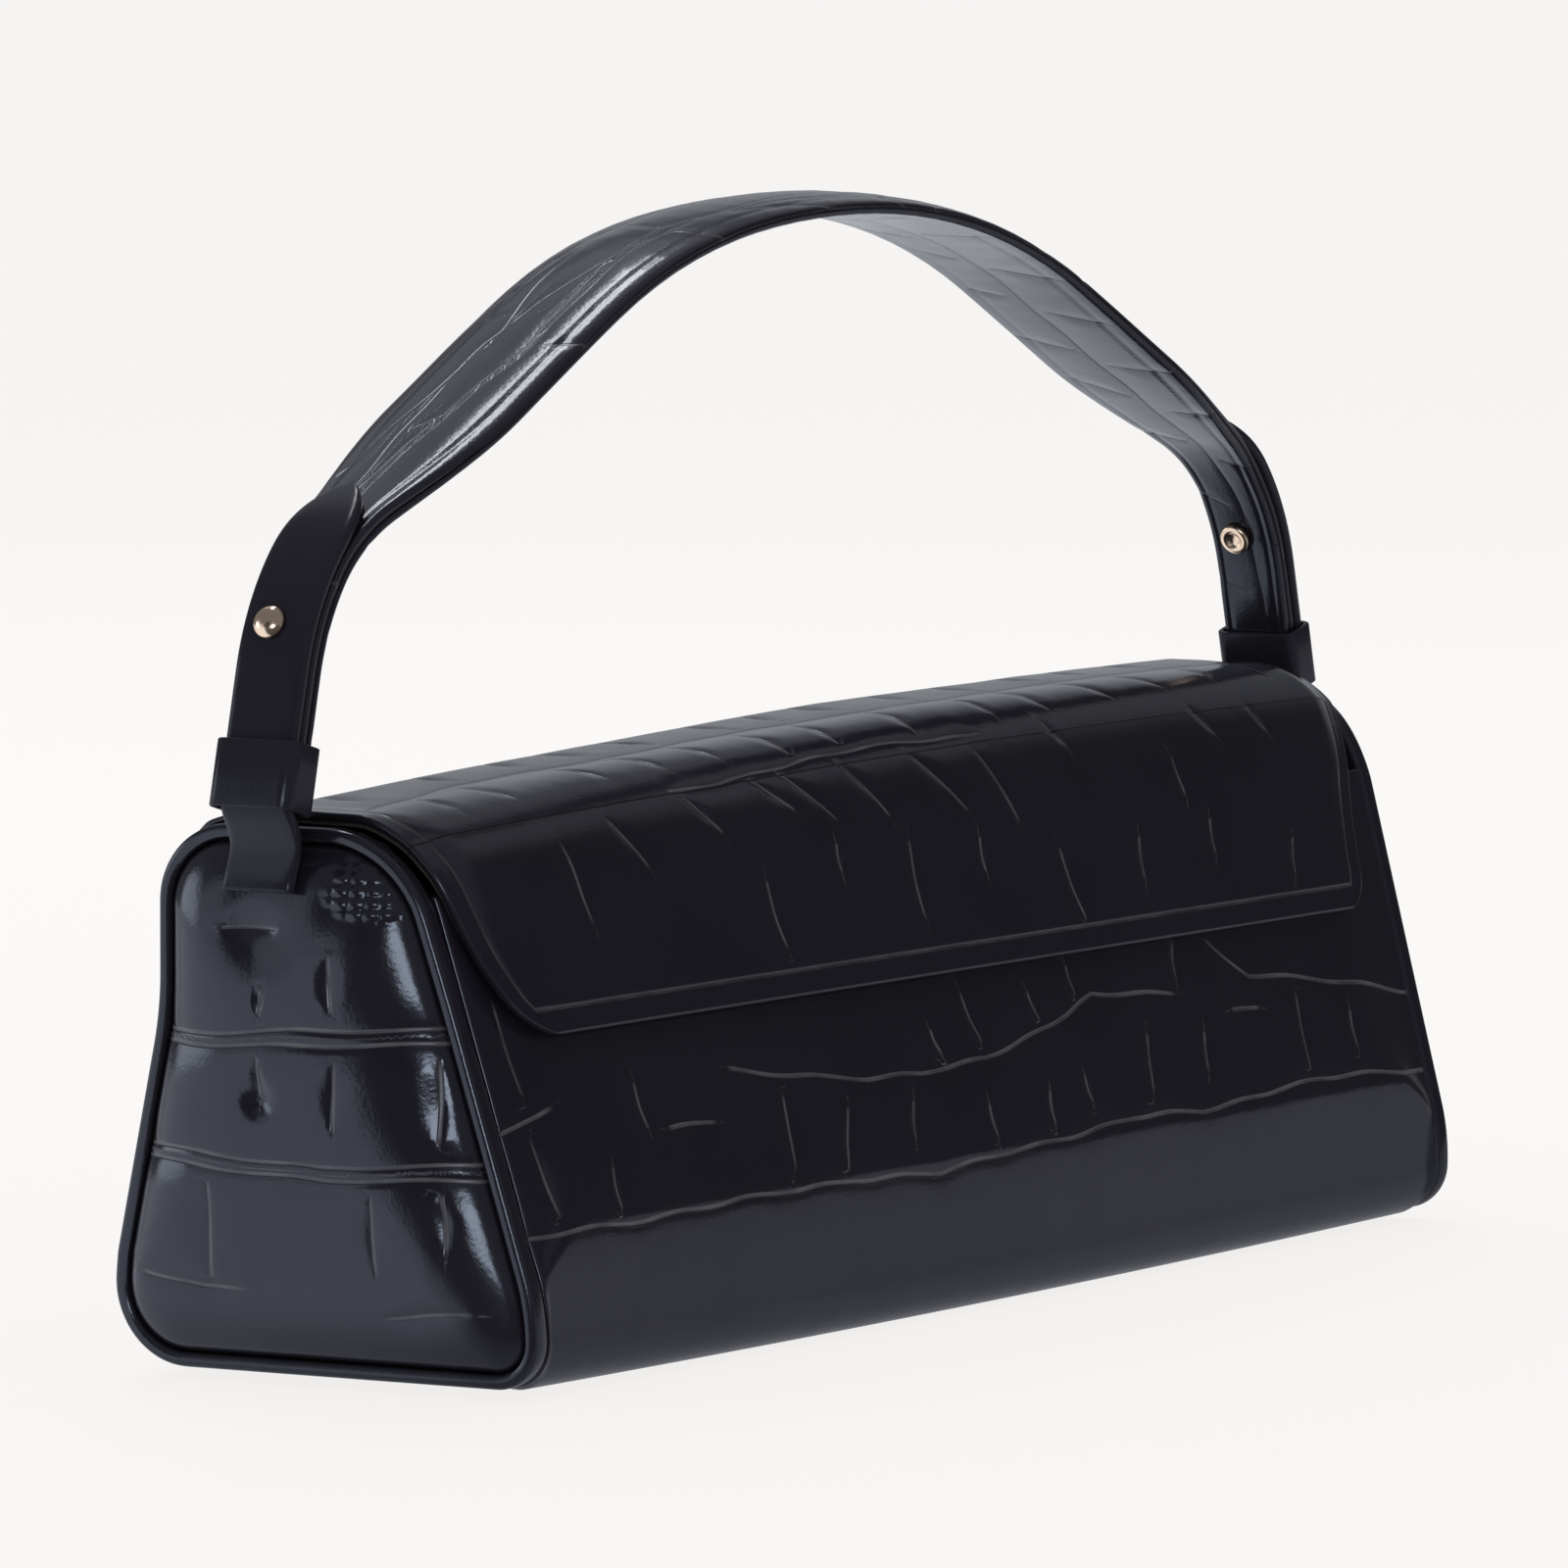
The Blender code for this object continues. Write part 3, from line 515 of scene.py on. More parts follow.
# The scale borders seen on the front, as (X, Z).
FRONT_LINES = (
    ((-0.1536, 0.0236), (-0.1409, 0.0238), (-0.109, 0.0238), (-0.085, 0.0238),
     (-0.052, 0.0241), (-0.0234, 0.0225), (0.0028, 0.024), (0.0433, 0.0255), (0.067, 0.0246),
     (0.0945, 0.0261), (0.1097, 0.0263), (0.1534, 0.0247)),
    ((-0.0834, 0.0446), (-0.0399, 0.0398), (-0.0229, 0.0387), (0.0, 0.0397),
     (0.030, 0.0448), (0.0398, 0.0471), (0.0677, 0.0449)),
    ((0.082, 0.0536), (0.0949, 0.0463), (0.1199, 0.0431), (0.1556, 0.0387)),
    ((-0.1536, 0.0400), (-0.148, 0.0410), (-0.1366, 0.0439)),
    ((-0.1462, 0.0608), (-0.1437, 0.0453)),
    ((-0.1451, 0.0395), (-0.1420, 0.0255)),
    ((-0.1118, 0.0456), (-0.1109, 0.0377)),
    ((-0.1060, 0.0372), (-0.0900, 0.0366)),
    ((0.0330, 0.0525), (0.0338, 0.0470)),
    ((0.0180, 0.0500), (0.0200, 0.0440)),
    ((-0.0170, 0.0455), (-0.0150, 0.0412)),
    ((0.0290, 0.0340), (0.0296, 0.0290)),
    ((0.0710, 0.0535), (0.0690, 0.0475)),
    ((0.0846, 0.0408), (0.0950, 0.0405)),
    ((-0.0035, 0.0514), (-0.0006, 0.0418)),
    ((0.1084, 0.0425), (0.1068, 0.0262)),
    ((0.0543, 0.0398), (0.0507, 0.0279)),
    ((0.0734, 0.0382), (0.0709, 0.0307)),
    ((0.1266, 0.0378), (0.1255, 0.0300)),
    ((-0.1246, 0.0330), (-0.1244, 0.0258)),
    ((-0.0680, 0.0401), (-0.0700, 0.0263)),
    ((-0.0494, 0.0359), (-0.0537, 0.0252)),
    ((-0.0281, 0.0347), (-0.0301, 0.0281)),
    ((-0.0042, 0.0320), (-0.0033, 0.0264)),
    ((0.0166, 0.0330), (0.0160, 0.0270)),
)

# The scale borders seen on the flap and its lip, as (X, distance up from the lip's end).
LIP_LINES = (
    ((-0.078, 0.0372), (-0.050, 0.0385), (-0.024, 0.0395), (0.0, 0.0398), (0.027, 0.0385)),
    ((-0.075, 0.0362), (-0.0693, 0.0275)),
    ((-0.0532, 0.0379), (-0.0447, 0.0295)),
    ((-0.0435, 0.0391), (-0.0323, 0.0266)),
    ((-0.0242, 0.0385), (-0.0166, 0.0255)),
    ((-0.0017, 0.0383), (0.0095, 0.0250)),
    ((0.0192, 0.0369), (0.0251, 0.0225)),
    ((-0.1014, 0.0349), (-0.0949, 0.0235)),
    ((-0.1179, 0.0317), (-0.1155, 0.0164)),
    ((0.083, 0.0305), (0.0833, 0.0230)),
    ((0.0480, 0.0395), (0.0500, 0.0330)),
    ((0.0980, 0.0385), (0.1010, 0.0320)),
    ((0.1180, 0.0370), (0.1195, 0.0310)),
    ((0.0900, 0.0195), (0.0890, 0.0130)),
    ((-0.0609, 0.0199), (-0.0590, 0.0082)),
    ((-0.0359, 0.0236), (-0.0360, 0.0186)),
    ((-0.0130, 0.0227), (-0.0132, 0.0090)),
    ((0.0106, 0.0216), (0.0105, 0.0158)),
    ((0.0360, 0.0184), (0.0401, 0.0048)),
    ((0.0636, 0.0178), (0.0624, 0.0105)),
    ((0.1173, 0.0138), (0.1151, 0.0072)),
)

# Pressed-in places on an end, as (Y, Z, radius, depth).
GUSSET_DIMPLES = (
    (0.0075, 0.0450, 0.0028, 0.0011),
    (0.0080, 0.0720, 0.0060, 0.0009),
)

# The scale borders and creases on an end, as (Y, Z).
GUSSET_LINES = (
    ((-0.0335, 0.0575), (-0.0285, 0.0569), (0.0, 0.0562), (0.0236, 0.0550), (0.034, 0.0555)),
    ((-0.0400, 0.0352), (-0.0331, 0.0359), (-0.0036, 0.0343), (0.0272, 0.0366),
     (0.040, 0.0372)),
    ((-0.0310, 0.0548), (0.0, 0.0538), (0.0300, 0.0532)),
    ((-0.0370, 0.0335), (-0.0036, 0.0322), (0.0272, 0.0343), (0.0370, 0.0350)),
    ((-0.0246, 0.0530), (-0.0250, 0.0380)),
    ((-0.0252, 0.0315), (-0.0256, 0.0210)),
    ((-0.0062, 0.0690), (-0.0070, 0.0580)),
    ((-0.0070, 0.0520), (-0.0068, 0.0390)),
    ((0.0070, 0.0630), (0.0071, 0.0580)),
    ((0.0072, 0.0522), (0.0075, 0.0450)),
    ((0.0035, 0.0730), (0.0150, 0.0730)),
    ((-0.0130, 0.0310), (-0.0128, 0.0160)),
    ((0.0180, 0.0325), (0.0185, 0.0130)),
    ((0.0345, 0.0160), (0.0200, 0.0140), (0.0120, 0.0142)),
    ((-0.0300, 0.0120), (-0.0120, 0.0105)),
)

# A patch of small domed scales near the top of an end: its middle and half sizes, the shares of
# the way out from its middle at which it starts and ends to fade, the size of a scale, and how
# far the domes stand out.
SMALL_SCALES_MIDDLE = (-0.0142, 0.0800)
SMALL_SCALES_HALVES = (0.0095, 0.0055)
SMALL_SCALES_FADE_SHARES = (0.7, 1.1)
SMALL_SCALE_SIZES = (0.0030, 0.0022)
SMALL_SCALE_HEIGHT = 0.00055


def small_scales(y, z):
    """How far the small scales stand out: the root of two sine waves' product, faded out
    towards the patch's edge."""
    from_middle = np.hypot((y - SMALL_SCALES_MIDDLE[0]) / SMALL_SCALES_HALVES[0],
                           (z - SMALL_SCALES_MIDDLE[1]) / SMALL_SCALES_HALVES[1])
    across = np.sin(np.pi * (y + waver(z, y)) / SMALL_SCALE_SIZES[0])
    up = np.sin(np.pi * (z + waver(y, z)) / SMALL_SCALE_SIZES[1])
    domes = np.sqrt(np.abs(across * up))
    return SMALL_SCALE_HEIGHT * domes * (1 - smooth_step(from_middle, *SMALL_SCALES_FADE_SHARES))


def body_profile():
    """The closed end view, starting and ending at the middle of the top."""
    return closed_profile(BODY_CORNERS, BODY_RADII)


def wrap_stretches(path):
    """Start and end lengths of the front, base and back walls."""
    mouth = path.where(1, MOUTH_FRONT_Z)
    front_seam = path.where(0, -BASE_SEAM_Y, last=True)
    back_seam = path.where(0, BASE_SEAM_Y)
    hinge = path.where(1, HINGE_Z, last=True)
    half_gap = GAP / 2
    return {
        "front": (mouth, front_seam - half_gap),
        "base": (front_seam + half_gap, back_seam - half_gap),
        "back": (back_seam + half_gap, hinge - half_gap),
    }


def wall_grids(path, lengths, x, lift, sink):
    """Outer and inner grids of a wall that runs along the bag: the path's points at each X,
    moved out by the lift and in by the sink."""
    middle = path.at(lengths)[:, None]
    outward = path.right(lengths)[:, None]
    grids = []
    for move in (lift, -sink):
        spot = middle + outward * np.broadcast_to(move, x.shape)[..., None]
        grids.append(np.concatenate([x[..., None], spot], -1))
    return grids


def add_wrap_wall(place, lines, columns, rows):
    """The front, the back or the base: a stretch of the end view carried along the bag. It
    swells where it is away from what holds it, and it hangs with the sag."""
    path = body_profile()
    start, end = wrap_stretches(path)[place]
    lengths = spaced(start, end, rows, EDGE_ROUNDING)
    halves = half_length_at(path.at(lengths)[:, 1])[:, None] - RIM_DEPTH - GAP
    share = spaced(-1, 1, columns, EDGE_ROUNDING / HALF_LENGTH)[None, :]
    x = halves * share
    level = np.broadcast_to(path.at(lengths)[:, 1:], x.shape)
    height, groove = embossing(x, level, lines)
    ends = np.minimum(lengths - start, end - lengths)[:, None]
    sides = halves * (1 - np.abs(share))
    height = height - turned_edge(np.minimum(ends, sides), EDGE_ROUNDING)
    from_seam = (end - lengths if place == "front" else lengths - start)[:, None]
    low, high = [BAND_Z * limit_share for limit_share in BAND_HOLD_SHARES]
    hold = BAND_HOLD + (SIDE_HOLD - BAND_HOLD) * smooth_step(level, low, high)
    free = smooth_step(sides / hold, 0, 1) * smooth_step(from_seam, 0, SEAM_HOLD)
    grids = wall_grids(path, lengths, x, height + belly(place, level) * free, LEATHER)
    for grid in grids:
        grid[..., 2] -= body_sag(grid[..., 0], grid[..., 2])
    return add_wall(place + "_leather", *grids, groove)


def gusset_face(z, share):
    """How far out a domed end lies: the end's length, less a recess, plus a dome that is the
    root of one less a power of the share of the way to its edge."""
    dome = GUSSET_BULGE * np.sqrt(np.clip(1 - share ** GUSSET_DOME_POWER, 0, 1))
    return half_length_at(z) - GUSSET_RECESS + dome


def add_gusset(side, rings=120, turns=560):
    """A domed end: rings from the sewn edge to the middle, and a second dome behind it."""
    path = body_profile()
    around = np.linspace(0, path.total, turns, endpoint=False)
    edge = path.at(around) - path.right(around) * (RIM_WALL + GAP)
    centre = np.array(GUSSET_CENTRE)
    shares = 1 - np.linspace(0, 1, rings + 1)[:-1] ** GUSSET_RING_POWER
    place = centre + (edge - centre)[:, None] * shares[None, :, None]
    y, z = place[..., 0], place[..., 1]
    height, groove = embossing(y, z, GUSSET_LINES, GUSSET_STRENGTH)
    height = height + small_scales(y, z)
    for dimple_y, dimple_z, radius, depth in GUSSET_DIMPLES:
        away = np.hypot(y - dimple_y, z - dimple_z)
        height = height - depth * np.exp(-(away / radius) ** 2)
    face = gusset_face(z, shares[None, :]) + height
    outer = np.stack([face, y, z - end_drop(side, z)], -1)
    back_shares = np.array(GUSSET_BACK_SHARES)
    back_place = centre + (edge - centre)[:, None] * back_shares[None, :, None]
    back_face = gusset_face(back_place[..., 1], back_shares[None, :]) - GUSSET_THICKNESS
    back = np.concatenate([back_face[..., None], back_place], -1)
    back[..., 2] -= end_drop(side, back[..., 2])
    middle = gusset_face(centre[1], 0)
    poles = np.array([[middle, *centre], [middle - GUSSET_THICKNESS, *centre]])
    points = np.concatenate([outer.reshape(-1, 3), back.reshape(-1, 3), poles])
    front_rows = np.arange(turns) * rings
    back_rows = turns * rings + np.arange(turns) * len(back_shares)
    edges = [front_rows, back_rows, np.roll(back_rows, -1), np.roll(front_rows, -1)]
    faces = np.concatenate([
        grid_faces(turns, rings, wrap_rows=True),
        grid_faces(turns, len(back_shares), back_rows[0], wrap_rows=True)[:, ::-1],
        np.stack(edges, -1)])
    others = fan(front_rows + rings - 1, len(points) - 2)
    others += fan(back_rows + len(back_shares) - 1, len(points) - 1, turned=True)
    if side == "left":
        points[:, 0] *= -1
        faces = faces[:, ::-1]
        others = [face[::-1] for face in others]
    return add_mesh(side + "_gusset_leather", points, faces, others, groove.reshape(-1, 2))


def rounded_section(width, depth, rounding):
    """A closed rectangle with round corners, from (0, 0) to (width, depth)."""
    corners = ((0, 0), (width, 0), (width, depth), (0, depth))
    return rounded(corners, (rounding,) * 4, closed=True)[::SECTION_STEP]


def upright(spots, y):
    """Places from the X and Z of spots in the handle's plane, and the Y of each."""
    return np.stack([spots[..., 0], y, spots[..., 1]], -1)


def add_rim(side, turns=360):
    """The bound edge round an end: a rounded section carried round the body's outline."""
    path = body_profile()
    around = np.linspace(0, path.total, turns, endpoint=False)
    section = rounded_section(RIM_DEPTH, RIM_WALL, RIM_ROUNDING)
    place = path.at(around)[:, None] - path.right(around)[:, None] * section[None, :, 1:]
    x = half_length_at(path.at(around)[:, 1])[:, None] - section[None, :, 0]
    grid = np.concatenate([x[..., None], place], -1)
    grid[..., 2] -= end_drop(side, grid[..., 2])
    return add_ring(side + "_rim_binding", on_side(grid, side))


def flap_profile():
    """The closed flap's outer face, from the back hinge over the top to the lip's end."""
    outline = body_profile()
    hinge_length = outline.where(1, HINGE_Z, last=True)
    hinge = outline.at(hinge_length)
    along_back = unit(hinge - outline.at(hinge_length - GAP))
    top_z = BODY_HEIGHT + FLAP_LIFT + FLAP_LAYERS
    top = np.array(BODY_CORNERS[1])
    upward = unit(top - np.array(BODY_CORNERS[2]))
    normal = np.array([-upward[1], upward[0]])
    on_lip = top + normal * (LIP_STAND_OFF + FLAP_LAYERS)
    shoulder = on_lip + upward * (top_z - on_lip[1]) / upward[1]
    end = on_lip + upward * (LIP_END_Z - on_lip[1]) / upward[1]
    corners = (hinge, hinge + along_back * HINGE_RUN, (FLAP_REAR_BEND_Y, top_z), shoulder, end)
    radii = (0, HINGE_RUN_RADIUS, FLAP_REAR_BEND_RADIUS, LIP_SHOULDER_RADIUS, 0)
    return Profile(rounded(corners, radii))


def flap_rise(x, length, total):
    """How far the flap's top stands up or settles: a line of rises along the bag, faded out
    towards the hinge and down the lip."""
    full, leaving, gone = [total * share for share in FLAP_RISE_SHARES]
    fade = smooth_step(length, 0, full) * (1 - smooth_step(length, leaving, gone))
    return np.interp(x, FLAP_RISE_PLACES, FLAP_RISES) * fade


def flap_half_lengths(length, fold, total):
    """The flap's reach to the left and to the right: nearly even over the top, then the lip
    draws in, on the left mostly near its end and on the right mostly near the fold."""
    over = np.clip(length / fold, 0, 1)
    down = np.clip((length - fold) / (total - fold), 0, 1)
    rounding = turned_edge(total - length, LIP_CORNER_RADIUS)
    left = FLAP_HALF_LENGTH + FLAP_FLARE * over
    right = FLAP_HALF_LENGTH - FLAP_FLARE * over
    left_taper = down ** LIP_LEFT_POWER
    right_taper = 1 - (1 - down) ** LIP_RIGHT_POWER
    left = left - (FLAP_HALF_LENGTH + FLAP_FLARE - LIP_END_HALF_LENGTH) * left_taper
    right = right - (FLAP_HALF_LENGTH - LIP_END_HALF_LENGTH) * right_taper
    return left - rounding, right - rounding


def add_flap_layer(name, start, end, columns, rows, depth, thickness, lines):
    """One layer of the flap between two lengths along it, at a depth below its outer face. The
    outermost one has a pressed line, which is marked as a groove is, so that the finish paints
    it paler as a painted highlight."""
    path = flap_profile()
    fold = fold_length()
    reach = end - depth if end == path.total else end
    lengths = spaced(start, reach, rows, EDGE_ROUNDING)
    left, right = flap_half_lengths(lengths + (end - reach), fold, path.total)
    share = spaced(-1, 1, columns, EDGE_ROUNDING / FLAP_HALF_LENGTH)[None, :]
    halves = np.where(share < 0, left[:, None], right[:, None]) - depth / 2
    x = halves * share
    up_from_end = np.broadcast_to((path.total - lengths)[:, None], x.shape)
    whole = smooth_step(lengths, fold * FLAP_TOP_SHARE, fold)[:, None]
    strength = FLAP_TOP_STRENGTH + (1 - FLAP_TOP_STRENGTH) * whole
    height, groove = embossing(x, up_from_end, lines, strength)
    from_side = halves * (1 - np.abs(share))
    edges = np.minimum(from_side, up_from_end)
    from_line = edges - PRESSED_LINE_INSET
    shown = 0 if depth else smooth_step(lengths, 0, fold)[:, None]
    # Marked like a groove, so the finish paints the pressed line paler as a painted highlight.
    mark = PRESSED_LINE_HIGHLIGHT_SHARE * shown * np.exp(-(from_line / GROOVE_REACH) ** 4)
    stronger = mark > groove[..., 0]
    groove[stronger] = np.stack([mark, from_line / GROOVE_WIDTH], -1)[stronger]
    pressed = shown * np.exp(-(from_line / PRESSED_LINE_WIDTH) ** 2)
    height = height - PRESSED_LINE_DEPTH * pressed - turned_edge(edges, EDGE_ROUNDING)
    curls = [np.interp(lengths / path.total, FLAP_CURL_SHARES, depths)[:, None]
             for depths in (LEFT_CURLS, RIGHT_CURLS)]
    curl = np.where(share < 0, *curls) * (1 - smooth_step(from_side, 0, FLAP_CURL_REACH))
    grids = wall_grids(path, lengths, x, height - curl - depth, curl + depth + thickness)
    for grid in grids:
        grid[..., 2] += flap_rise(x, lengths[:, None], path.total)
    return add_wall(name, *grids, groove)


def fold_length():
    """The length along the flap that lies nearest to the lip's fold."""
    path = flap_profile()
    lengths = np.linspace(0, path.total, FOLD_STEPS)
    away = np.linalg.norm(path.at(lengths) - np.array(FOLD_POINT), axis=1)
    return lengths[np.argmin(away)]


def strap_profile():
    return Profile(rounded(STRAP_CORNERS, STRAP_RADII))


def strap_bow(length, total):
    """How far the handle bows out: two humps, each a squared sine, over its right and its
    left slope."""
    share = (length / total - STRAP_BOW_START_SHARE) / (1 - 2 * STRAP_BOW_START_SHARE)
    share = np.clip(share, 0, 1)
    return np.where(share < 0.5, *STRAP_BOWS) * np.sin(2 * np.pi * share) ** 2


def strap_width(length, total):
    """Narrow at both tails, widening by a smooth step to the full width."""
    from_tail = np.minimum(length, total - length)
    widening = smooth_step(from_tail, STRAP_TAPER_START, STRAP_TAPER_END)
    return STRAP_TAIL_WIDTH + (STRAP_WIDTH - STRAP_TAIL_WIDTH) * widening


def add_strap_layer(name, outward, lines, columns=44, rows=460):
    """One layer of the handle, from its middle line outwards or inwards: a flat face on the
    middle line and a crowned one with grooves, closed round the edges."""
    path = strap_profile()
    lengths = spaced(0, path.total, rows, EDGE_ROUNDING)
    widths = strap_width(lengths, path.total)[:, None]
    share = spaced(-1, 1, columns, STRAP_EDGE_SHARE)[None, :]
    across = widths / 2 * share
    along = np.broadcast_to(lengths[:, None] - path.total / 2, across.shape)
    height, groove = embossing(along, across, lines, STRAP_STRENGTH)
    from_line = (np.abs(share) - STRAP_LINE_SHARE) * widths / 2
    height = height - PRESSED_LINE_DEPTH * np.exp(-(from_line / PRESSED_LINE_WIDTH) ** 2)
    drop = turned_edge(widths / 2 * (1 - np.abs(share)), STRAP_LAYER * STRAP_ROUNDING_SHARE)
    fullness = (widths - STRAP_TAIL_WIDTH) / (STRAP_WIDTH - STRAP_TAIL_WIDTH)
    crown = fullness * STRAP_CROWN * (STRAP_CROWN_SHARE - np.abs(share) ** STRAP_CROWN_POWER)
    if not outward:
        crown = crown * UNDERSIDE_CROWN_SHARE
    face = GAP / 2 + STRAP_LAYER + height + crown - drop
    bow = strap_bow(lengths, path.total)[:, None, None]
    middle = path.at(lengths)[:, None] + path.right(lengths)[:, None] * bow
    away = path.right(lengths)[:, None] * (1 if outward else -1)
    y = HANDLE_Y + across + STRAP_SHIFT * fullness
    grids = [upright(middle + away * distance[..., None], y)
             for distance in (face, np.full(y.shape, GAP / 2))]
    if outward:
        grids = [grid[:, ::-1] for grid in grids]
        groove = groove[:, ::-1]
    outer, inner = grids
    section = np.concatenate([outer, inner[:, ::-1]], axis=1)
    marks = np.concatenate([groove, np.zeros_like(groove)], axis=1)
    return add_bar(name, section, marks)


def tab_profile():
    """The inner face of the right tab, from its sewn foot up the gusset and round the strap."""
    strap = strap_profile()
    lengths = np.concatenate([[0], np.linspace(TAB_REACH / 8, TAB_REACH, 80)])
    along = strap.at(lengths) + strap.right(lengths) * TAB_OUT
    top = BODY_HEIGHT - RIM_WALL - GAP
    heights = np.array([TAB_FOOT_Z, TAB_FOOT_Z + TAB_SEWN_LENGTH])
    share = (heights - GUSSET_CENTRE[1]) / (top - GUSSET_CENTRE[1])
    sewn = np.stack([gusset_face(heights, share) + GAP, heights], -1)
    lower = rounded(np.concatenate([sewn, along[:2]]), (0, TAB_BEND, TAB_BEND / 2, 0))
    return Profile(np.concatenate([lower, along[2:]]))


def add_tab(side, rows=150, columns=28):
    """The end tab: a rounded section carried along the tab's line, narrowing to its tip. The
    section is a circle whose sine and cosine are raised to a power, which squares it."""
    path = tab_profile()
    lengths = np.linspace(0, path.total, rows)
    from_tip = path.total - lengths
    share = np.clip(1 - from_tip / TAB_TIP_LENGTH, 0, 1)
    tip_power, width_power = TAB_TIP_POWERS
    widths = TAB_WIDTH * np.clip(1 - share ** tip_power, 0, 1) ** width_power
    widths = np.maximum(widths, TAB_ROUNDING)
    turn = np.linspace(0, 2 * math.pi, columns, endpoint=False)
    across, deep = [np.sign(wave) * np.abs(wave) ** TAB_SECTION_POWER
                    for wave in (np.cos(turn), np.sin(turn))]
    depth = (1 + deep) / 2
    outward = path.right(lengths)[:, None]
    place = path.at(lengths)[:, None] + outward * TAB_THICKNESS * depth[None, :, None]
    lean = TAB_LEAN * (1 - smooth_step(path.at(lengths)[:, 1], TAB_FOOT_Z, BODY_HEIGHT))
    y = HANDLE_Y + lean[:, None] + widths[:, None] / 2 * across[None, :]
    return add_bar(side + "_tab_leather", on_side(upright(place, y), side))


def add_keeper(side, turns=160):
    """The loop round tab and strap: a thin rounded wall carried round a rounded rectangle."""
    end = np.array(STRAP_CORNERS[0])
    upward = unit(np.array(STRAP_CORNERS[1]) - end)
    outward = np.array([upward[1], -upward[0]])
    half_width = TAB_WIDTH / 2 + GAP
    corners = ((-TAB_OUT, -half_width), (ON_TAB, -half_width), (ON_TAB, half_width),
               (-TAB_OUT, half_width))
    path = closed_profile(corners, (KEEPER_ROUNDING,) * 4)
    around = np.linspace(0, path.total, turns, endpoint=False)
    section = rounded_section(KEEPER_HEIGHT, KEEPER_WALL,
                              KEEPER_WALL * KEEPER_WALL_ROUNDING_SHARE)
    place = path.at(around)[:, None] + path.right(around)[:, None] * section[None, :, 1:]
    height = section[None, :, :1] - KEEPER_DROP
    spot = end + outward * place[..., :1] + upward * np.broadcast_to(
        height, place.shape[:2] + (1,))
    grid = upright(spot, HANDLE_Y + place[..., 1])
    return add_ring(side + "_keeper_loop", on_side(grid, side))


def add_turned(name, profile, place, outward, turns=48):
    """A turned piece: a profile of radius and height carried round the line outward."""
    outward = np.array(outward, float)
    across = unit(np.cross(outward, [0, 1, 0]))
    other = np.cross(outward, across)
    angle = np.linspace(0, 2 * math.pi, turns, endpoint=False)
    spoke = np.cos(angle)[:, None] * across + np.sin(angle)[:, None] * other
    radius, height = profile[:, 0], profile[:, 1]
    grid = (place + radius[None, :, None] * spoke[:, None]
            + height[None, :, None] * outward)
    poles = [place + outward * height[0], place + outward * height[-1]]
    points = np.concatenate([grid.reshape(-1, 3), poles])
    count = len(profile)
    first = np.arange(turns) * count
    others = fan(first, len(points) - 2, turned=True)
    others += fan(first + count - 1, len(points) - 1)
    return add_mesh(name, points, grid_faces(turns, count, wrap_rows=True), others)


def stud_place(side):
    """Where a stud sits on the strap's middle line, and which way it points."""
    path = strap_profile()
    length = path.where(1, STUD_HEIGHT_Z)
    spot = path.at(length)
    outward = path.right(length)
    sign = -1 if side == "left" else 1
    return (np.array([sign * spot[0], HANDLE_Y + STUD_SHIFT, spot[1]]),
            np.array([sign * outward[0], 0, outward[1]]))


def add_stud(side):
    """A stud with a domed head, and the cap of its screw behind: a rim round a shallow well."""
    place, outward = stud_place(side)
    back = -STRAP_LAYER - GAP / 2
    angle = np.linspace(math.pi / 24, math.pi / 2, 12)
    dome = np.stack([STUD_HEAD_RADIUS * np.sin(angle),
                     ON_TAB + STUD_HEAD_HEIGHT * np.cos(angle)], -1)
    shaft = np.array([(STUD_POST_RADIUS, ON_TAB), (STUD_POST_RADIUS, back)])
    stud = add_turned(side + "_stud_head", np.concatenate([dome, shaft]), place, outward)
    top = back - GAP
    bottom = top - SCREW_CAP_HEIGHT
    well = top - SCREW_CAP_HEIGHT / 2
    lip, foot = [STUD_HEAD_RADIUS * share for share in SCREW_CAP_WELL_SHARES]
    cap = np.array([(STUD_POLE_RADIUS, top), (STUD_HEAD_RADIUS, top),
                    (STUD_HEAD_RADIUS, top - SCREW_CAP_HEIGHT * 2 / 3),
                    (STUD_HEAD_RADIUS * SCREW_CAP_RIM_SHARE, bottom), (lip, bottom),
                    (foot, well), (STUD_POLE_RADIUS, well)])
    screw = add_turned(side + "_stud_cap", cap, place, outward)
    return stud, screw


class Maths:
    """A shader value: + - and * on it, with numbers or others like it, add Math nodes."""

    def __init__(self, tree, socket):
        self.tree = tree
        self.socket = socket

    def maths(self, operation, *values):
        node = self.tree.node("ShaderNodeMath", {"operation": operation}, dict(enumerate(values)))
        return Maths(self.tree, node.outputs[0])

    def __add__(self, other):
        return self.maths("ADD", self, other)

    def __radd__(self, other):
        return self.maths("ADD", other, self)

    def __sub__(self, other):
        return self.maths("SUBTRACT", self, other)

    def __rsub__(self, other):
        return self.maths("SUBTRACT", other, self)

    def __mul__(self, other):
        return self.maths("MULTIPLY", self, other)

    def __rmul__(self, other):
        return self.maths("MULTIPLY", other, self)


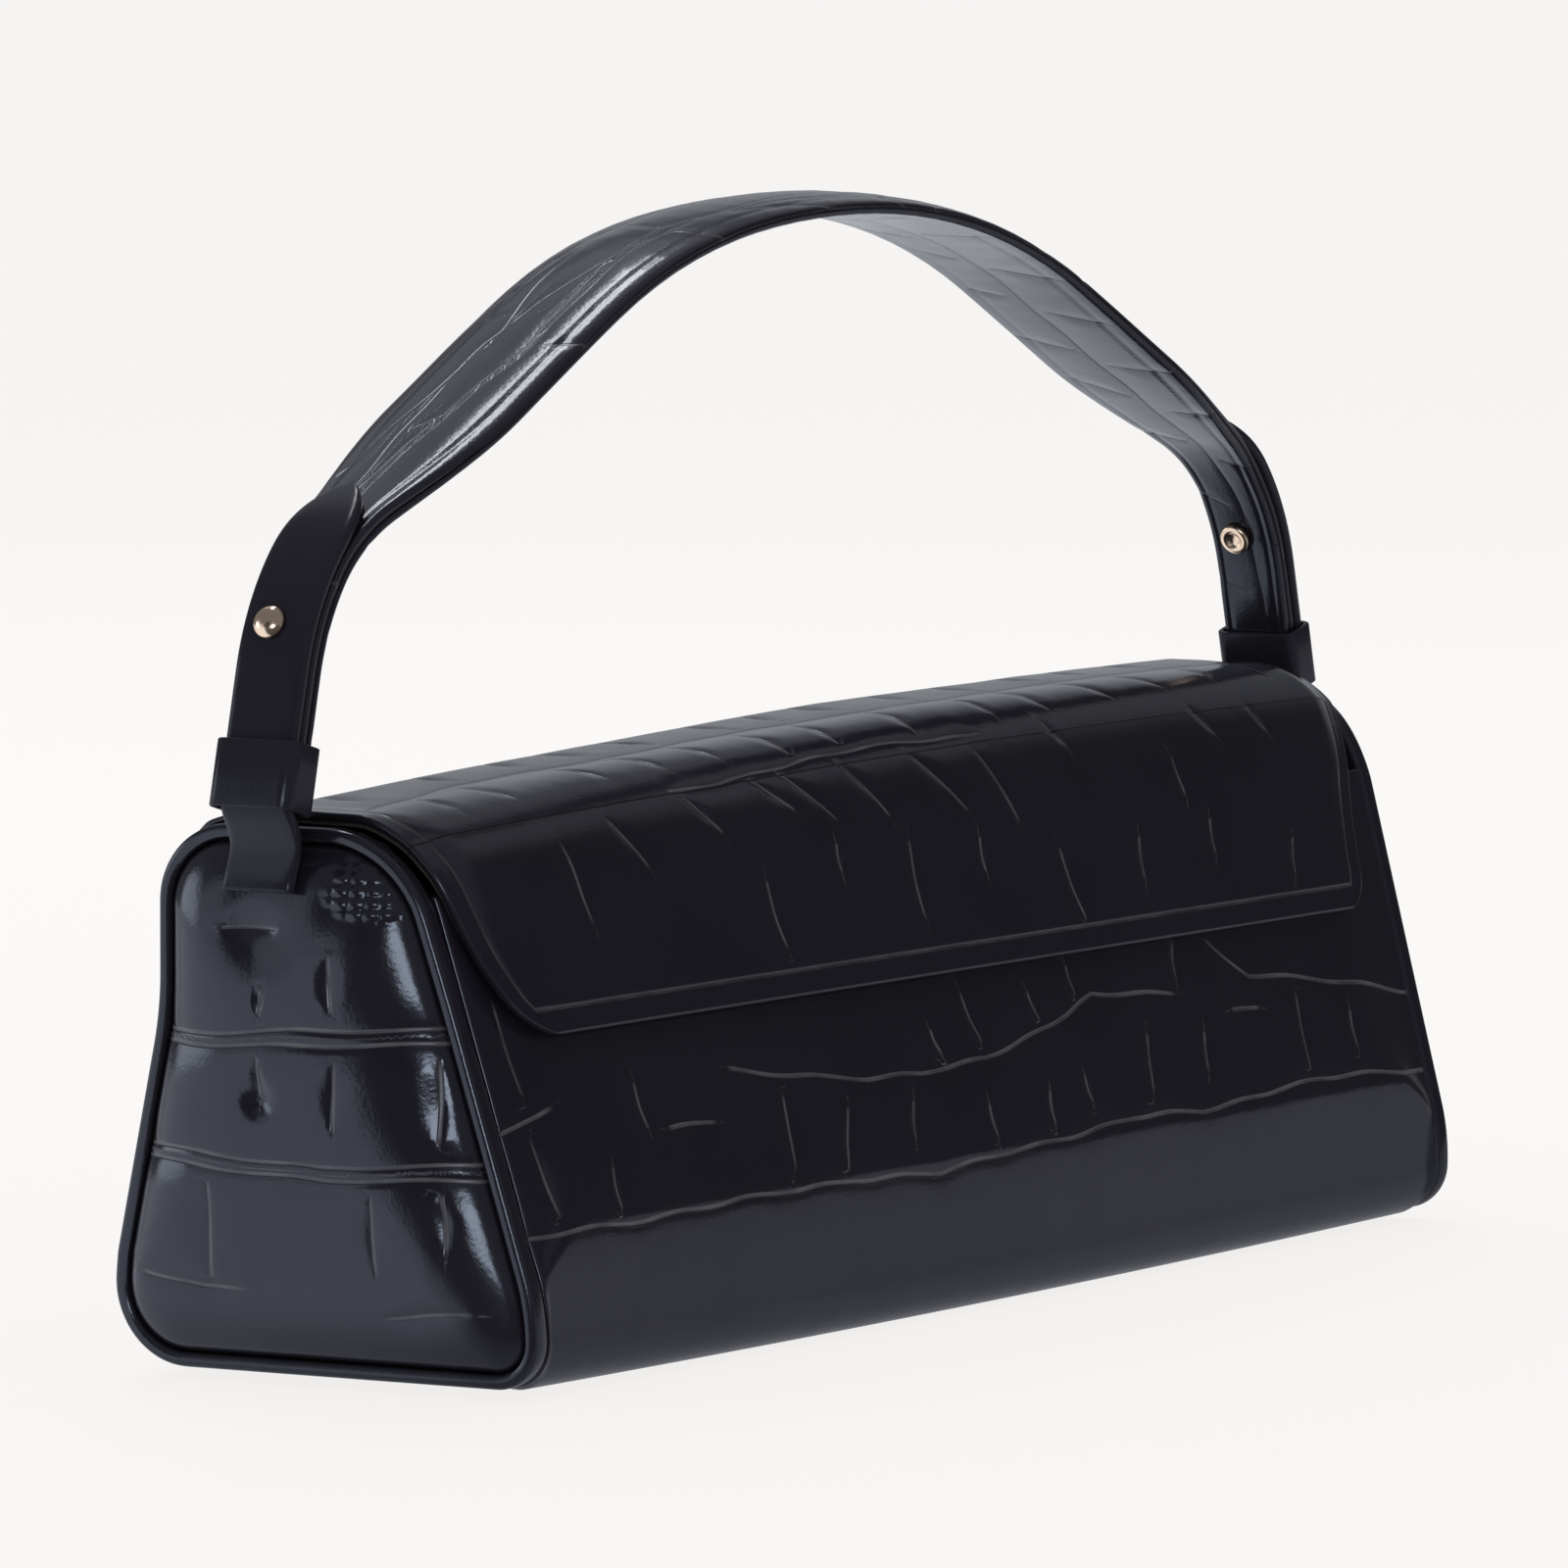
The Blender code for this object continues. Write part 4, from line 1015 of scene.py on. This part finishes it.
class Tree:
    """A material's or a world's nodes, with one method that adds any node."""

    def __init__(self, owner):
        owner.use_nodes = True
        self.nodes = owner.node_tree.nodes
        self.links = owner.node_tree.links

    def node(self, kind, settings=None, inputs=None):
        made = self.nodes.new(kind)
        for name, value in (settings or {}).items():
            setattr(made, name, value)
        self.feed(made, inputs or {})
        return made

    def feed(self, made, inputs):
        for name, value in inputs.items():
            if isinstance(value, Maths):
                self.links.new(value.socket, made.inputs[name])
            elif isinstance(value, bpy.types.NodeSocket):
                self.links.new(value, made.inputs[name])
            else:
                made.inputs[name].default_value = value

    def value(self, socket):
        return Maths(self, socket)

    def noise(self, scale, detail=2.0, stretch=(1, 1, 1)):
        place = self.node("ShaderNodeTexCoord").outputs["Object"]
        sized = self.node("ShaderNodeMapping", {}, {"Vector": place, "Scale": stretch})
        made = self.node("ShaderNodeTexNoise", {}, {
            "Vector": sized.outputs[0], "Scale": scale, "Detail": detail})
        return self.value(made.outputs["Fac"])

    def rise(self, value, low, high):
        """Nought below low and one above high, with a smooth rise between."""
        made = self.node("ShaderNodeMapRange", {"interpolation_type": "SMOOTHSTEP"}, {
            "Value": value, "From Min": low, "From Max": high})
        return self.value(made.outputs["Result"])

    def bump(self, height, strength, depth):
        made = self.node("ShaderNodeBump", {}, {
            "Strength": strength, "Distance": depth, "Height": height})
        return made.outputs[0]

    def mix(self, share, first, second):
        made = self.node("ShaderNodeMix", {"data_type": "RGBA"}, {
            "Factor": share, 6: first, 7: second})
        return made.outputs[2]


# The leathers: the two colours that each wanders between, the colour painted into its grooves
# (paler as a painted highlight on the groove flanks; on the handle's underside darker, as painted
# shade), its roughness and its index of refraction. The metals: two colours and the roughness.
# Pale colour painted into the grooves: a painted highlight on their flanks.
GROOVE_HIGHLIGHT = (0.075, 0.072, 0.082, 1)
LEATHERS = {
    "black_leather": (
        (0.0085, 0.0076, 0.0120, 1), (0.0135, 0.0118, 0.0180, 1), GROOVE_HIGHLIGHT, 0.15, 1.55),
    # Its grooves are painted darker than its colours: painted shade in the grooves.
    "handle_underside_leather": (
        (0.0075, 0.0068, 0.0110, 1), (0.0120, 0.0108, 0.0165, 1), (0.003, 0.003, 0.005, 1),
        0.17, 1.55),
    "tab_leather": (
        (0.0118, 0.0110, 0.0168, 1), (0.0172, 0.0160, 0.0238, 1), GROOVE_HIGHLIGHT, 0.18, 1.30),
}
METALS = {
    "gold_fittings": ((0.86, 0.64, 0.46, 1), (0.93, 0.73, 0.55, 1), 0.13),
    "snap_steel": ((0.50, 0.50, 0.51, 1), (0.60, 0.60, 0.61, 1), 0.25),
}
SHEEN = (0.78, 0.87, 1, 1)
LINING_COLOURS = ((0.030, 0.026, 0.024, 1), (0.055, 0.048, 0.044, 1))
LINING_ROUGHNESS = 0.85
BOARD_COLOURS = ((0.060, 0.055, 0.050, 1), (0.095, 0.088, 0.080, 1))
BOARD_ROUGHNESS = 0.9

# How fine each pattern is, as a noise scale; where grooves fade, and where their painted
# highlight and painted shade break into patches; how much each pattern changes the colour, the
# roughness and the relief; and each finish's bump strength and depth.
CLOUD_SCALE = 28.0
BREAK_SCALE = 120.0
WAVE_SCALE = 70.0
PORE_SCALE = 1400.0
WEAVE_SCALE = 2200.0
FIBRE_SCALE = 700.0
SCUFF_SCALE = 900.0
GROOVE_FADE_SHARES = (0.02, 0.28)
BREAK_SHARES = (0.35, 0.65)
# How much of the grooves' painted highlight (painted shade on the underside) is laid on, and how
# much more in patches.
GROOVE_PAINT_SHARE = 0.45
GROOVE_PAINT_BREAK_SHARE = 0.5
CLOUD_GLOSS_SHARE = 0.12
GROOVE_GLOSS_SHARE = 0.15
SCUFF_GLOSS_SHARE = 0.12
PORE_SHARE = 0.15
GROOVE_RELIEF_SHARE = 1.4
LEATHER_BUMP = (0.25, 0.0006)
LINING_BUMP = (0.4, 0.0002)
BOARD_BUMP = (0.3, 0.0002)


def new_material(name):
    material = bpy.data.materials.new(name)
    tree = Tree(material)
    return material, tree, tree.nodes["Principled BSDF"]


def leather_material(name):
    """Glossy embossed leather: grooves duller, and painted towards the groove colour in patches,
    which is a painted highlight where that colour is pale and painted shade where it is dark; a
    slow change of gloss, fine pores and a slow waviness in the bump. The groove attribute's X is
    how much a place belongs to a groove, and its Y the distance from the groove's line, in groove
    widths."""
    first, second, painted_groove_colour, roughness, index = LEATHERS[name]
    material, tree, shader = new_material(name)
    attribute = tree.node("ShaderNodeAttribute", {"attribute_name": "groove"})
    marks = tree.node("ShaderNodeSeparateXYZ", {}, {"Vector": attribute.outputs["Vector"]})
    offset = tree.value(marks.outputs["Y"])
    outside = tree.rise(offset * offset, *GROOVE_FADE_SHARES)
    groove = tree.value(marks.outputs["X"]) * (1 - outside)
    cloud = tree.noise(CLOUD_SCALE, 3.0)
    broken = tree.rise(tree.noise(BREAK_SCALE), *BREAK_SHARES)
    # Grooves painted towards the groove colour: painted highlight where it is pale, painted shade
    # where it is dark.
    groove_paint = groove * (GROOVE_PAINT_SHARE + broken * GROOVE_PAINT_BREAK_SHARE)
    colour = tree.mix(groove_paint, tree.mix(cloud, first, second), painted_groove_colour)
    rough = roughness + (cloud - 0.5) * CLOUD_GLOSS_SHARE + groove * GROOVE_GLOSS_SHARE
    relief = (tree.noise(PORE_SCALE) * PORE_SHARE + tree.noise(WAVE_SCALE)
              - groove * GROOVE_RELIEF_SHARE)
    tree.feed(shader, {
        "Base Color": colour, "Roughness": rough, "Specular Tint": SHEEN, "IOR": index,
        "Normal": tree.bump(relief, *LEATHER_BUMP)})
    return material


def lining_material():
    """Woven cloth: the product of two noises, each stretched along another direction."""
    material, tree, shader = new_material("lining_cloth")
    weave = (tree.noise(WEAVE_SCALE, 1.0, (1, 1, 0.3))
             * tree.noise(WEAVE_SCALE, 1.0, (0.3, 1, 1)))
    tree.feed(shader, {
        "Base Color": tree.mix(weave, *LINING_COLOURS), "Roughness": LINING_ROUGHNESS,
        "Normal": tree.bump(weave, *LINING_BUMP)})
    return material


def metal_material(name):
    """Polished metal, a little duller and paler where it is scuffed."""
    first, second, roughness = METALS[name]
    material, tree, shader = new_material(name)
    scuffs = tree.noise(SCUFF_SCALE, 3.0)
    tree.feed(shader, {"Base Color": tree.mix(scuffs, first, second), "Metallic": 1.0,
                       "Roughness": roughness + scuffs * SCUFF_GLOSS_SHARE})
    return material


def board_material():
    """Grey board with fibres that lie flat."""
    material, tree, shader = new_material("grey_board")
    fibres = tree.noise(FIBRE_SCALE, 4.0, (1, 1, 4))
    tree.feed(shader, {
        "Base Color": tree.mix(fibres, *BOARD_COLOURS), "Roughness": BOARD_ROUGHNESS,
        "Normal": tree.bump(fibres, *BOARD_BUMP)})
    return material


def dress(piece, material, body, slot, *nodes):
    """Gives a piece its finish, and its body unless it is blended between two, and hides the CAD
    nodes that it stands for. The slot argument is not used."""
    piece.data.materials.clear()
    piece.data.materials.append(material)
    if body:
        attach(piece, body)
    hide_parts(*nodes)
    return piece


def refinish(names, material):
    """A better finish on CAD nodes whose shape is right."""
    for name in names:
        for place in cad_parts[name].material_slots:
            place.material = material


def build_bag():
    leather = leather_material("black_leather")
    for place, lines, columns, rows in (("front", FRONT_LINES, 560, 130),
                                        ("back", scale_lines(*BACK_SCALES), 420, 130),
                                        ("base", (), 60, 40)):
        wall = add_wrap_wall(place, lines, columns, rows)
        dress(wall, leather, "body", "leather", place + "_panel")
    for side in ("left", "right"):
        dress(add_gusset(side), leather, "body", "leather", side + "_gusset")
        dress(add_rim(side), leather, "body", "leather", side + "_rim")

    lining = lining_material()
    fold = fold_length()
    top = (GAP / 2, fold - GAP / 2)
    down = (fold + GAP / 2, flap_profile().total)
    inside = FLAP_LEATHER + GAP
    top_lines = (*scale_lines(*TOP_SCALES), *LIP_LINES)
    flap = add_flap_layer("flap_cover", *top, 420, 90, 0, FLAP_LEATHER, top_lines)
    lip = add_flap_layer("lip_cover", *down, 560, 110, 0, FLAP_LEATHER, LIP_LINES)
    flap_inside = add_flap_layer("flap_inside", *top, 60, 60, inside, FLAP_LINING, ())
    lip_inside = add_flap_layer("lip_inside", *down, 60, 60, inside, FLAP_LINING, ())
    dress(flap, leather, None, "leather", "flap_top_leather")
    dress(lip, leather, None, "leather", "lip_leather")
    dress(flap_inside, lining, None, "lining", "flap_top_lining")
    dress(lip_inside, lining, None, "lining", "lip_lining")
    for piece in (flap, flap_inside):
        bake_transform(piece)
    for piece in (lip, lip_inside):
        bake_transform(piece)

    strap = add_strap_layer("handle_cover", True, scale_lines(*STRAP_SCALES))
    dress(strap, leather, "handle", "leather", "strap_leather")
    dark_leather = leather_material("handle_underside_leather")
    underside = add_strap_layer("handle_underside", False, scale_lines(*UNDERSIDE_SCALES))
    dress(underside, dark_leather, "handle", "leather", "strap_lining")

    tab_leather = leather_material("tab_leather")
    gold = metal_material("gold_fittings")
    for side in ("left", "right"):
        tab = add_tab(side)
        dress(tab, tab_leather, None, "leather", side + "_tab_foot", side + "_tab")
        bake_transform(tab)
        dress(add_keeper(side), tab_leather, side + "_keeper", "leather", side + "_keeper")
        stud, screw = add_stud(side)
        dress(stud, gold, "handle", "gold", side + "_stud")
        dress(screw, gold, "handle", "gold", side + "_stud_screw")

    refinish([place + "_lining" for place in ("front", "base", "back", "left", "right")], lining)
    refinish(["front_board", "base_board", "back_board"], board_material())
    refinish(["snap_socket", "snap_stud"], metal_material("snap_steel"))


# Camera, lamps, floor and world.
CAMERA_PLACE = (-1.880, -1.113, 0.255)
CAMERA_LOOK = (0.8573, 0.5104, -0.0778)
CAMERA_LENS = 297.6
CAMERA_SENSOR = 36.0
CAMERA_REACH = 100.0

# The lamps: place, sizes, power, and whether the gloss mirrors it. The one that it mirrors looks
# straight down, turned by STRIP_TURN degrees, and the other one is aimed at the bag.
LAMPS = {
    "soft_lamp": ((0.9, 0.95, 1.5), (1.2, 1.2), 12.0, False),
    "strip_lamp": ((0.55, 0.55, 1.5), (1.05, 0.17), 4.0, True),
}
STRIP_TURN = 17.0

# How bright the studio is in the gloss: all round, and in patches, each with its direction, the
# angles from it at which the patch starts and is full, and its brightness.
STUDIO_LEVEL = 0.19
STUDIO_PATCHES = (
    ((0.86, 0.50, 0.08), 24, 12, 0.42),
    ((-0.80, 0.60, 0.0), 17, 12, 0.88),
    ((-0.887, 0.436, 0.152), 8, 5, 0.04),
    ((0.50, 0.51, 0.70), 20, 8, 0.55),
    ((-0.995, 0.10, 0.05), 15, 10, 0.03),
    ((-0.95, 0.13, 0.28), 14, 9, 0.03),
    ((0.855, -0.490, 0.17), 34, 22, 0.03),
    ((-0.93, -0.37, 0.0), 14, 9, 7.5),
    ((-0.40, 0.90, 0.05), 17, 9, 2.6),
)
STUDIO_FILL = 0.8
PALE = (0.93, 0.915, 0.905, 1)
COOL = (0.86, 0.90, 0.98, 1)

# The floor, and how bright it is in the gloss. Each pair of places is where its brightness
# starts and ends to change: behind the bag, far behind it, beyond its left end, and beyond that
# end along a slanted line.
FLOOR_SIZE = 30.0
FLOOR_COLOUR = (0.80, 0.79, 0.78, 1)
FLOOR_ROUGHNESS = 0.9
FLOOR_GLOW = 1.04
FLOOR_GLOW_SHARE = 0.88
FLOOR_FRONT_LEVEL = 0.33
FLOOR_BACK_LEVEL = 1.15
FLOOR_FAR_SHARE = 0.45
FLOOR_LEFT_LEVEL = 1.15
FLOOR_DARK_LEVEL = 0.06
FLOOR_BEHIND = (-0.04, 0.12)
FLOOR_FAR_BEHIND = (0.13, 0.30)
FLOOR_BEYOND = (0.15, 0.18)
FLOOR_SLANTED = (-0.035, -0.010)
FLOOR_SLANT_X = 0.16
FLOOR_SLANT_SHARE = 0.4


def add_camera():
    camera = bpy.data.objects.new("camera", bpy.data.cameras.new("camera"))
    bpy.context.scene.collection.objects.link(camera)
    camera.location = CAMERA_PLACE
    camera.rotation_euler = Vector(CAMERA_LOOK).to_track_quat("-Z", "Y").to_euler()
    camera.data.lens = CAMERA_LENS
    camera.data.sensor_width = CAMERA_SENSOR
    camera.data.clip_end = CAMERA_REACH
    bpy.context.scene.camera = camera


def add_floor():
    """A pale floor that shows the same white as the world, less a soft shadow. In the gloss it
    is dim in front of the bag, bright close behind it, and beyond its left end dark in front of
    a slanted line and bright behind it."""
    half = FLOOR_SIZE / 2
    points = np.array([(-half, -half, 0), (half, -half, 0), (half, half, 0), (-half, half, 0)])
    points[:, 2] -= BASE_SAG + FRONT_SWELL[0][1] + GAP
    floor = add_mesh("floor", points, np.array([[0, 1, 2, 3]]))
    material, tree, shader = new_material("pale_floor")
    tree.feed(shader, {"Base Color": FLOOR_COLOUR, "Roughness": FLOOR_ROUGHNESS})
    spot = tree.node("ShaderNodeSeparateXYZ", {}, {
        "Vector": tree.node("ShaderNodeTexCoord").outputs["Object"]})
    x, y = tree.value(spot.outputs["X"]), tree.value(spot.outputs["Y"])
    far = tree.rise(y, *FLOOR_FAR_BEHIND)
    behind = tree.rise(y, *FLOOR_BEHIND) * (1 - far * FLOOR_FAR_SHARE)
    beyond = tree.rise(-1 * x, *FLOOR_BEYOND)
    lit = tree.rise(y + FLOOR_SLANT_SHARE * (x + FLOOR_SLANT_X), *FLOOR_SLANTED)
    left = FLOOR_DARK_LEVEL + lit * (FLOOR_LEFT_LEVEL - FLOOR_DARK_LEVEL)
    mirrored = FLOOR_FRONT_LEVEL + behind * (FLOOR_BACK_LEVEL - FLOOR_FRONT_LEVEL)
    mirrored = mirrored + beyond * (left - mirrored)
    paths = tree.node("ShaderNodeLightPath")
    glossy = tree.value(paths.outputs["Is Glossy Ray"])
    strength = FLOOR_GLOW * (1 - glossy) + glossy * mirrored
    glow = tree.node("ShaderNodeEmission", {}, {
        "Color": tree.mix(glossy, PALE, COOL), "Strength": strength})
    mixed = tree.node("ShaderNodeMixShader", {}, {
        0: FLOOR_GLOW_SHARE + glossy * (1 - FLOOR_GLOW_SHARE),
        1: shader.outputs[0], 2: glow.outputs[0]})
    tree.feed(tree.nodes["Material Output"], {"Surface": mixed.outputs[0]})
    floor.data.materials.append(material)


def add_lamp(name, place, sizes, power, mirrored):
    light = bpy.data.lights.new(name, "AREA")
    light.shape = "RECTANGLE"
    light.size, light.size_y = sizes
    light.energy = power
    lamp = bpy.data.objects.new(name, light)
    lamp.location = place
    if mirrored:
        lamp.rotation_euler = (0, 0, math.radians(STRIP_TURN))
    else:
        lamp.rotation_euler = (-Vector(place)).to_track_quat("-Z", "Y").to_euler()
    lamp.visible_glossy = mirrored
    bpy.context.scene.collection.objects.link(lamp)


def set_world():
    """White for the camera; in the gloss a dim studio with its patches, one laid over the
    other; plain pale light for the rest."""
    world = bpy.data.worlds.new("studio")
    bpy.context.scene.world = world
    tree = Tree(world)
    direction = tree.node("ShaderNodeTexCoord").outputs["Generated"]
    paths = tree.node("ShaderNodeLightPath")
    camera, through, glossy = [
        tree.value(paths.outputs[kind])
        for kind in ("Is Camera Ray", "Is Transmission Ray", "Is Glossy Ray")]
    seen = camera + through
    mirrored = STUDIO_LEVEL
    for aim, outer, inner, level in STUDIO_PATCHES:
        facing = tree.node("ShaderNodeVectorMath", {"operation": "DOT_PRODUCT"}, {
            0: direction, 1: Vector(aim).normalized()})
        near = tree.rise(facing.outputs["Value"], math.cos(math.radians(outer)),
                         math.cos(math.radians(inner)))
        mirrored = mirrored + near * (level - mirrored)
    strength = seen + glossy * mirrored + (1 - seen - glossy) * STUDIO_FILL
    tree.feed(tree.nodes["Background"], {
        "Color": tree.mix(glossy, PALE, COOL), "Strength": strength})


add_camera()
add_floor()
for lamp_name, facts in LAMPS.items():
    add_lamp(lamp_name, *facts)
set_world()
build_bag()
bpy.context.scene.view_settings.view_transform = "Standard"
